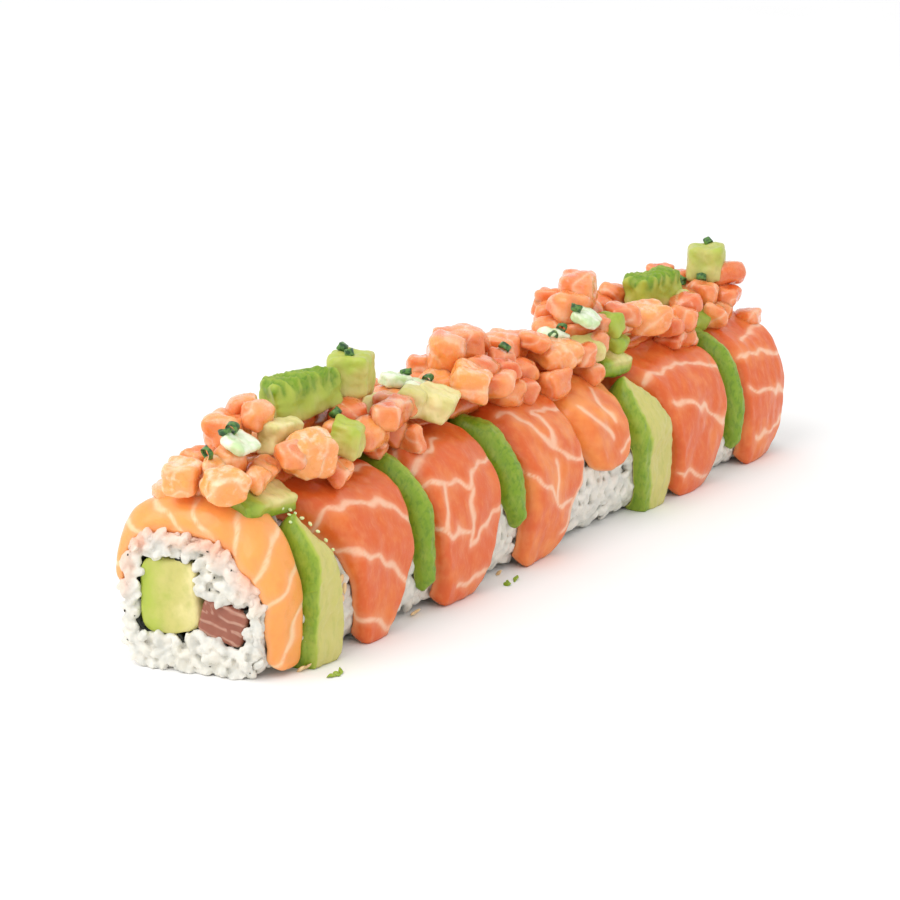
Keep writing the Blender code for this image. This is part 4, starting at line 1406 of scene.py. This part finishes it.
def scattered(dice, centres, normals, size, spread=0.15, base=None):
    """Small grains, seeds or beads lying on a surface, each turned its own way."""
    centres = np.array(centres, float)
    normals = np.array(normals, float)
    long = np.cross(normals, dice.normal(size=normals.shape))
    scale = np.array(size) * dice.uniform(1 - spread, 1 + spread, centres.shape)
    return copies(base or spindle(12, 8, 0.55), centres, grain_axes(long, normals), scale)


def on_rice(places):
    """Points and outward directions for places given as x, angle in degrees and lift."""
    x, degrees, lift = np.array(places, float).T
    angle = np.radians(degrees)
    points = rice_points(x, angle, lift)
    points[:, 2] = np.maximum(points[:, 2], 0.7)
    normals = np.stack([np.zeros_like(x), np.cos(angle), np.sin(angle)], axis=-1)
    return points, normals


def chive_shape(dice):
    """Rings of chopped chive, settled on the heap."""
    rings = []
    for x, y, tilt in CHIVE_RINGS:
        shape = tube_ring(dice.uniform(1.3, 1.8), 0.32, dice.uniform(1.0, 2.2))
        shape.points[:, 2] *= dice.uniform(0.7, 0.95)
        turn = np.array(Euler((0, math.radians(-tilt), dice.uniform(-0.8, 2.0))).to_matrix()).T
        points = shape.points @ turn + np.array([x, y, 0])
        points[:, 2] += heights.under(points, 0.5) - points[:, 2].min() - 0.7
        shape.points = points + roughened(points, 2.0, 80, 0.1)
        rings.append(shape)
    return join(rings)


# ---------------------------------------------------------------- settings

def colour(name, description, hex_code):
    """A colour setting whose default is an sRGB hex colour."""
    return bpy.props.FloatVectorProperty(
        name=name, description=description, default=linear(hex_code), subtype="COLOR", size=4, min=0, max=1)


class UramakiSettings(bpy.types.PropertyGroup):
    """Sizes and colours a maker would change."""

    grain_length: bpy.props.FloatProperty(
        name="Grain length", description="Length of a cooked rice grain",
        default=5.4 * MM, min=0.003, max=0.008, unit="LENGTH")
    grain_width: bpy.props.FloatProperty(
        name="Grain width", description="Width of a cooked rice grain",
        default=2.75 * MM, min=0.001, max=0.004, unit="LENGTH")
    core_inset: bpy.props.FloatProperty(
        name="Core inset", description="How far the packed rice lies under its outer grains",
        default=1.1 * MM, min=0.0, max=0.003, unit="LENGTH")
    flesh_step: bpy.props.FloatProperty(
        name="Flesh detail", description="Distance between two points on a slice of fish or avocado",
        default=0.65 * MM, min=0.0003, max=0.003, unit="LENGTH")
    seed: bpy.props.IntProperty(
        name="Seed", description="Changes how the loose grains and dice fall", default=7, min=0)
    rice_white: colour("Rice", "Lightest colour of the cooked rice", "E8E4DA")
    avocado_skin: colour("Avocado under the skin", "Green of avocado nearest its skin", "789A1A")
    avocado_middle: colour("Avocado middle", "Lime of avocado halfway to the stone", "AEBC48")
    avocado_heart: colour("Avocado heart", "Yellow of avocado nearest its stone", "EADC9E")
    salmon_orange: colour("Orange salmon", "Lightest flesh of the salmon", "F9A454")
    salmon_coral: colour("Coral salmon", "Deepest flesh of the salmon", "DC6226")
    tuna_dark: colour("Dark tuna", "Darkest flesh of the tuna", "824434")
    tuna_light: colour("Light tuna", "Lightest flesh of the tuna", "A66852")


class StageSettings(bpy.types.PropertyGroup):
    """Light and surface a maker would change."""

    surface_size: bpy.props.FloatProperty(
        name="Surface size", description="Side of the pale surface under the roll",
        default=8.0, min=1.0, max=20.0, unit="LENGTH")
    sky: bpy.props.FloatVectorProperty(
        name="Sky colour", description="Colour of the soft light from all round",
        default=linear("FFFFFF")[:3], subtype="COLOR", size=3, min=0.0, max=1.0)
    sky_strength: bpy.props.FloatProperty(
        name="Sky strength", description="Brightness of the soft light from all round",
        default=1.0, min=0.0, max=5.0)
    key_power: bpy.props.FloatProperty(
        name="Key light", description="Power of the large light above and in front",
        default=9.0, min=0.0, max=500.0, subtype="POWER", unit="POWER")
    key_size: bpy.props.FloatProperty(
        name="Key size", description="Side of the large light, which sets how soft its shadows are",
        default=1.1, min=0.1, max=5.0, unit="LENGTH")
    key_place: bpy.props.FloatVectorProperty(
        name="Key place", description="Place of the large light, which faces the roll's middle",
        default=(-0.9, 0.25, 1.1), subtype="TRANSLATION", size=3)
    lens: bpy.props.FloatProperty(
        name="Lens", description="Focal length of the camera in millimetres",
        default=118.0, min=20.0, max=300.0)


# ---------------------------------------------------------------- operators

class URAMAKI_OT_rice(bpy.types.Operator):
    """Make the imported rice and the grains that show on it"""
    bl_idname = "uramaki.rice"
    bl_label = "Rice"

    def execute(self, context):
        settings = context.scene.uramaki
        dice = np.random.default_rng(settings.seed)
        inset = settings.core_inset / MM
        spans = piece_spans()
        last = len(spans) - 1
        packed = [rice_core_piece(front, back, inset, index == 0, index == last)
                  for index, (front, back) in enumerate(spans)]
        names = [f"rice_{number}" for number in range(2, len(spans) + 1)]
        piece("rice_core", stained(join(packed[1:])), material("rice"), names)
        face = face_grains(dice, settings, 0.0, -1, NEAR_FACE_SPACING, around=12, rows=9)
        near = fused(join([packed[0], face]), cell=0.28, kept=0.75)
        piece("rice_near", stained(near), material("rice"), ["rice_1"])
        face = face_grains(dice, settings, ROLL_LENGTH, 1, FAR_FACE_SPACING, around=9, rows=6)
        loose = fused(join([side_grains(dice, settings), face]), cell=0.44, kept=0.36)
        piece("rice_grains", stained(loose), material("rice"))
        return {"FINISHED"}


class URAMAKI_OT_nori(bpy.types.Operator):
    """Make the damp sheet of nori inside the rice, with its torn edges and scraps"""
    bl_idname = "uramaki.nori"
    bl_label = "Nori"

    def execute(self, context):
        dice = np.random.default_rng(context.scene.uramaki.seed + 1)
        angle = np.linspace(0, 2 * math.pi, 120, endpoint=False)
        sheets = []
        for front, back in piece_spans():
            first, last = front + NORI_SET_BACK, back - NORI_SET_BACK
            rows = []
            for x, lift in ((first, NORI_OUTSIDE), (last, NORI_OUTSIDE), (last, NORI_INSIDE),
                            (first, NORI_INSIDE)):
                ring = outline_points(NORI, x, angle, lift)
                ring[:, 0] += ripple(ring, 3.0, 61, 0.25) * (1 if x == first else -1)
                rows.append(ring)
            sheets.append(loft(np.stack(rows), closed_path=True))
        names = [f"nori_{number}" for number in range(1, len(sheets) + 1)]
        piece("nori_sheets", join(sheets), material("nori"), names)
        base = spindle(10, 6, 0.6)
        depth = 0.9
        thickness = 1.2
        scraps = []
        for gap_y, gap_z, radius in FACE_GAPS:
            centre = np.array([[skewed_x(depth, gap_y), gap_y, gap_z]])
            long = np.array([[0.0, *dice.normal(size=2)]])
            size = np.array([[2.6 * radius, 2.0 * radius, thickness]])
            scraps.append(copies(base, centre, grain_axes(long, np.array([[-1.0, 0, 0.01]])), size))
        flake_spacing = 2.6
        flake_count = 22
        places, _ = face_places(dice, flake_spacing)
        places = places[dice.permutation(len(places))[:flake_count]]
        places[:, 0] = skewed_x(np.full(len(places), -0.35), places[:, 1])
        flakes = specks(dice, places, np.tile([-1.0, 0.0, 0.02], (len(places), 1)), (0.6, 0.4, 0.3))
        shape = join(scraps + [flakes])
        shape.points += roughened(shape.points, 1.2, 65, 0.12)
        piece("nori_scraps", shape, material("nori"))
        return {"FINISHED"}


class URAMAKI_OT_fillings(bpy.types.Operator):
    """Make the avocado and tuna strips inside the nori"""
    bl_idname = "uramaki.fillings"
    bl_label = "Fillings"

    def execute(self, context):
        for number, (front, back) in enumerate(piece_spans(), 1):
            bar = filling_bar(AVOCADO_CORE, front, back, 0.0)
            across = (AVOCADO_CORE.left + AVOCADO_CORE.y - bar.points[:, 1]) / (2 * AVOCADO_CORE.left)
            low = np.clip((AVOCADO_CORE.z - bar.points[:, 2]) / AVOCADO_CORE.down, 0, 1)
            lower_right = low * np.clip(2 * across - 1, 0, 1)
            bar.points += lower_right[:, None] * np.array([0, -1.0, 2.4])
            ripe = 0.26 + 0.74 * np.clip(across, 0, 1) ** 0.9
            bar.values["ripe"] = ripe + ripple(bar.points, 5.0, 44, 0.04)
            piece(f"avocado_strip_{number}", bar, material("avocado"), [f"avocado_core_{number}"])
            bar = filling_bar(TUNA_CORE, front, back, TUNA_TILT)
            slant = bar.points[:, 2] * math.cos(TUNA_TILT) - bar.points[:, 1] * math.sin(TUNA_TILT)
            bar.values["streak"] = 0.5 + 0.5 * np.sin(slant * 2.6 + ripple(bar.points, 6.0, 45, 0.6))
            piece(f"tuna_strip_{number}", bar, material("tuna"), [f"tuna_core_{number}"])
        size, place = (3.0, 3.4, 2.6), (-0.6, -1.2, 20.2)
        end = dice_block(size, turn_matrix(25, 10), place, 470, power=4.0, divisions=8)
        piece("tuna_end", only_values(with_values(end, streak=0.2), "streak"), material("tuna"))
        return {"FINISHED"}


class URAMAKI_OT_slices(bpy.types.Operator):
    """Make the slices of salmon and avocado draped over the rice"""
    bl_idname = "uramaki.slices"
    bl_label = "Draped slices"

    def execute(self, context):
        step = context.scene.uramaki.flesh_step / MM
        for cut in SLICES:
            shape = slice_shape(cut, step)
            heights.add(shape.points)
            flesh = "salmon" if cut.kind == "salmon" else "avocado"
            piece(f"{cut.name}_flesh", shape, material(flesh), [cut.name])
        return {"FINISHED"}


class URAMAKI_OT_shoulders(bpy.types.Operator):
    """Make the two short avocado pieces that lie beside the heap"""
    bl_idname = "uramaki.shoulders"
    bl_label = "Shoulder pieces"

    def execute(self, context):
        for number, (name, x, y, z, size, tilt, spin) in enumerate(SHOULDERS):
            centre = np.array([x, y, z])
            turn = turn_matrix(tilt, spin)
            shape = dice_block(size, turn, centre, 90 + number, power=7.0, divisions=18, jitter=0.12)
            own = (shape.points - centre) @ turn.T
            back_share = own[:, 0] / size[0] + 0.5
            top = smooth_step(0.3, 0.95, shape.values["own_z"])
            with_values(shape, ripe=0.1 + 0.85 * smooth_step(0.05, 0.5, back_share) * top)
            heights.add(shape.points)
            piece(f"{name}_flesh", only_values(shape, "ripe"), material("avocado"), [name])
        return {"FINISHED"}


class URAMAKI_OT_large_dice(bpy.types.Operator):
    """Make the large dice of salmon and avocado"""
    bl_idname = "uramaki.large_dice"
    bl_label = "Large dice"

    def execute(self, context):
        for number, chunk in enumerate(CHUNKS):
            shape = chunk_shape(chunk, 200 + 7 * number)
            heights.add(shape.points)
            look = "dice" if chunk.kind == "salmon" else "avocado"
            piece(f"{chunk.name}_cut", shape, material(look), [chunk.name])
        return {"FINISHED"}


class URAMAKI_OT_heap(bpy.types.Operator):
    """Make the heap of small dice along the ridge"""
    bl_idname = "uramaki.heap"
    bl_label = "Heap of small dice"

    def execute(self, context):
        dice = np.random.default_rng(context.scene.uramaki.seed + 2)
        core = bed_core_shape()
        heights.add(core.points)
        piece("heap_core", core, material("dice"), ["topping_bed"])
        salmon, avocado = heap_bits(dice)
        piece("small_salmon_dice", salmon, material("dice"))
        piece("small_avocado_dice", avocado, material("avocado"))
        return {"FINISHED"}


class URAMAKI_OT_trimmings(bpy.types.Operator):
    """Make the spring onion, chives, sesame, drops and loose bits"""
    bl_idname = "uramaki.trimmings"
    bl_label = "Trimmings"

    def execute(self, context):
        settings = context.scene.uramaki
        dice = np.random.default_rng(settings.seed + 3)
        wedges = []
        for number, (x, y, size, tilt, spin) in enumerate(ONION_WEDGES):
            turn = turn_matrix(tilt, spin)
            shape = dice_block(size, turn, (x, y, 0), 300 + number, power=4.0, jitter=0.12, wedge=0.45)
            shape.points[:, 2] += heights.under(shape.points, 0.55) - shape.points[:, 2].min() - 0.5
            heights.add(shape.points)
            wedges.append(only_values(shape))
        piece("spring_onion_wedges", join(wedges), material("onion"))
        piece("chive_rings", chive_shape(dice), material("chive"))
        seed = spindle(12, 8, 0.6, taper=0.45)
        sesame = scattered(dice, *on_rice(SESAME), (3.0, 1.8, 1.0), base=seed)
        piece("sesame_seeds", sesame, material("sesame"))
        beads = scattered(dice, *on_rice(BEADS), (1.0, 0.9, 0.8), spread=0.35)
        piece("juice_beads", beads, material("dew"))
        up = np.tile([-0.3, 0.0, 1.0], (len(CRUMBS), 1))
        crumbs = scattered(dice, CRUMBS, up, (2.2, 1.3, 1.0), spread=0.35)
        crumbs.points += roughened(crumbs.points, 1.3, 95, 0.15)
        crumbs.points[:, 2] = np.maximum(crumbs.points[:, 2], GROUND_GAP)
        piece("avocado_crumbs", with_values(crumbs, ripe=0.15), material("avocado"))
        return {"FINISHED"}


# The camera's place from the middle of the nearer cut face, in mm, and where it looks: turned
# from straight along the roll, and dipped below level.
CAMERA_PLACE = Vector((-501.8, -391.8, 221.6))
CAMERA_HEADING = math.radians(33)
CAMERA_DIP = math.radians(15)


class URAMAKI_OT_stage(bpy.types.Operator):
    """Make the pale surface, the soft light and the camera"""
    bl_idname = "uramaki.stage"
    bl_label = "Stage"

    def execute(self, context):
        scene = context.scene
        stage = scene.uramaki_stage
        half = stage.surface_size / 2
        mesh = bpy.data.meshes.new("pale_surface")
        mesh.from_pydata([(-half, -half, 0), (half, -half, 0), (half, half, 0), (-half, half, 0)], [],
                         [(0, 1, 2, 3)])
        mesh.materials.append(material("surface"))
        floor = bpy.data.objects.new("pale_surface", mesh)
        scene.collection.objects.link(floor)

        world = bpy.data.worlds.new("soft_white_room")
        world.use_nodes = True
        background = world.node_tree.nodes["Background"]
        background.inputs["Color"].default_value = (*stage.sky, 1.0)
        background.inputs["Strength"].default_value = stage.sky_strength
        scene.world = world
        scene.view_settings.view_transform = "Standard"

        lamp = bpy.data.lights.new("key_window", "AREA")
        lamp.energy = stage.key_power
        lamp.size = stage.key_size
        key = bpy.data.objects.new("key_window", lamp)
        key.location = stage.key_place
        key.rotation_euler = (-key.location).to_track_quat("-Z", "Y").to_euler()
        scene.collection.objects.link(key)

        view = bpy.data.cameras.new("camera")
        view.lens = stage.lens
        view.sensor_width = 36
        view.clip_start = 0.01
        camera = bpy.data.objects.new("camera", view)
        camera.location = Vector((NEAR_END, 0, 0)) + CAMERA_PLACE * MM
        level = Vector((math.cos(CAMERA_HEADING), math.sin(CAMERA_HEADING), 0))
        forward = level * math.cos(CAMERA_DIP) - Vector((0, 0, math.sin(CAMERA_DIP)))
        camera.rotation_euler = forward.to_track_quat("-Z", "Y").to_euler()
        scene.collection.objects.link(camera)
        scene.camera = camera
        return {"FINISHED"}


class URAMAKI_PT_panel(bpy.types.Panel):
    """Sidebar panel that lists each step of the roll"""
    bl_idname = "URAMAKI_PT_panel"
    bl_label = "Uramaki roll"
    bl_space_type = "VIEW_3D"
    bl_region_type = "UI"
    bl_category = "Uramaki"

    def draw(self, context):
        layout = self.layout
        for name in UramakiSettings.__annotations__:
            layout.prop(context.scene.uramaki, name)
        for name in StageSettings.__annotations__:
            layout.prop(context.scene.uramaki_stage, name)
        for step in STEPS:
            layout.operator(step.bl_idname)


STEPS = [URAMAKI_OT_stage, URAMAKI_OT_rice, URAMAKI_OT_nori, URAMAKI_OT_fillings, URAMAKI_OT_slices,
         URAMAKI_OT_shoulders, URAMAKI_OT_large_dice, URAMAKI_OT_heap, URAMAKI_OT_trimmings]
CLASSES = [UramakiSettings, StageSettings, *STEPS, URAMAKI_PT_panel]


def register():
    """Register the classes and the settings they read."""
    for item in CLASSES:
        bpy.utils.register_class(item)
    bpy.types.Scene.uramaki = bpy.props.PointerProperty(type=UramakiSettings)
    bpy.types.Scene.uramaki_stage = bpy.props.PointerProperty(type=StageSettings)


def unregister():
    """Remove the settings and the classes."""
    del bpy.types.Scene.uramaki_stage
    del bpy.types.Scene.uramaki
    for item in reversed(CLASSES):
        bpy.utils.unregister_class(item)


def main():
    """Build everything in order."""
    register()
    bpy.ops.uramaki.stage()
    bpy.ops.uramaki.rice()
    bpy.ops.uramaki.nori()
    bpy.ops.uramaki.fillings()
    bpy.ops.uramaki.slices()
    bpy.ops.uramaki.shoulders()
    bpy.ops.uramaki.large_dice()
    bpy.ops.uramaki.heap()
    bpy.ops.uramaki.trimmings()


if __name__ == "__main__":
    main()
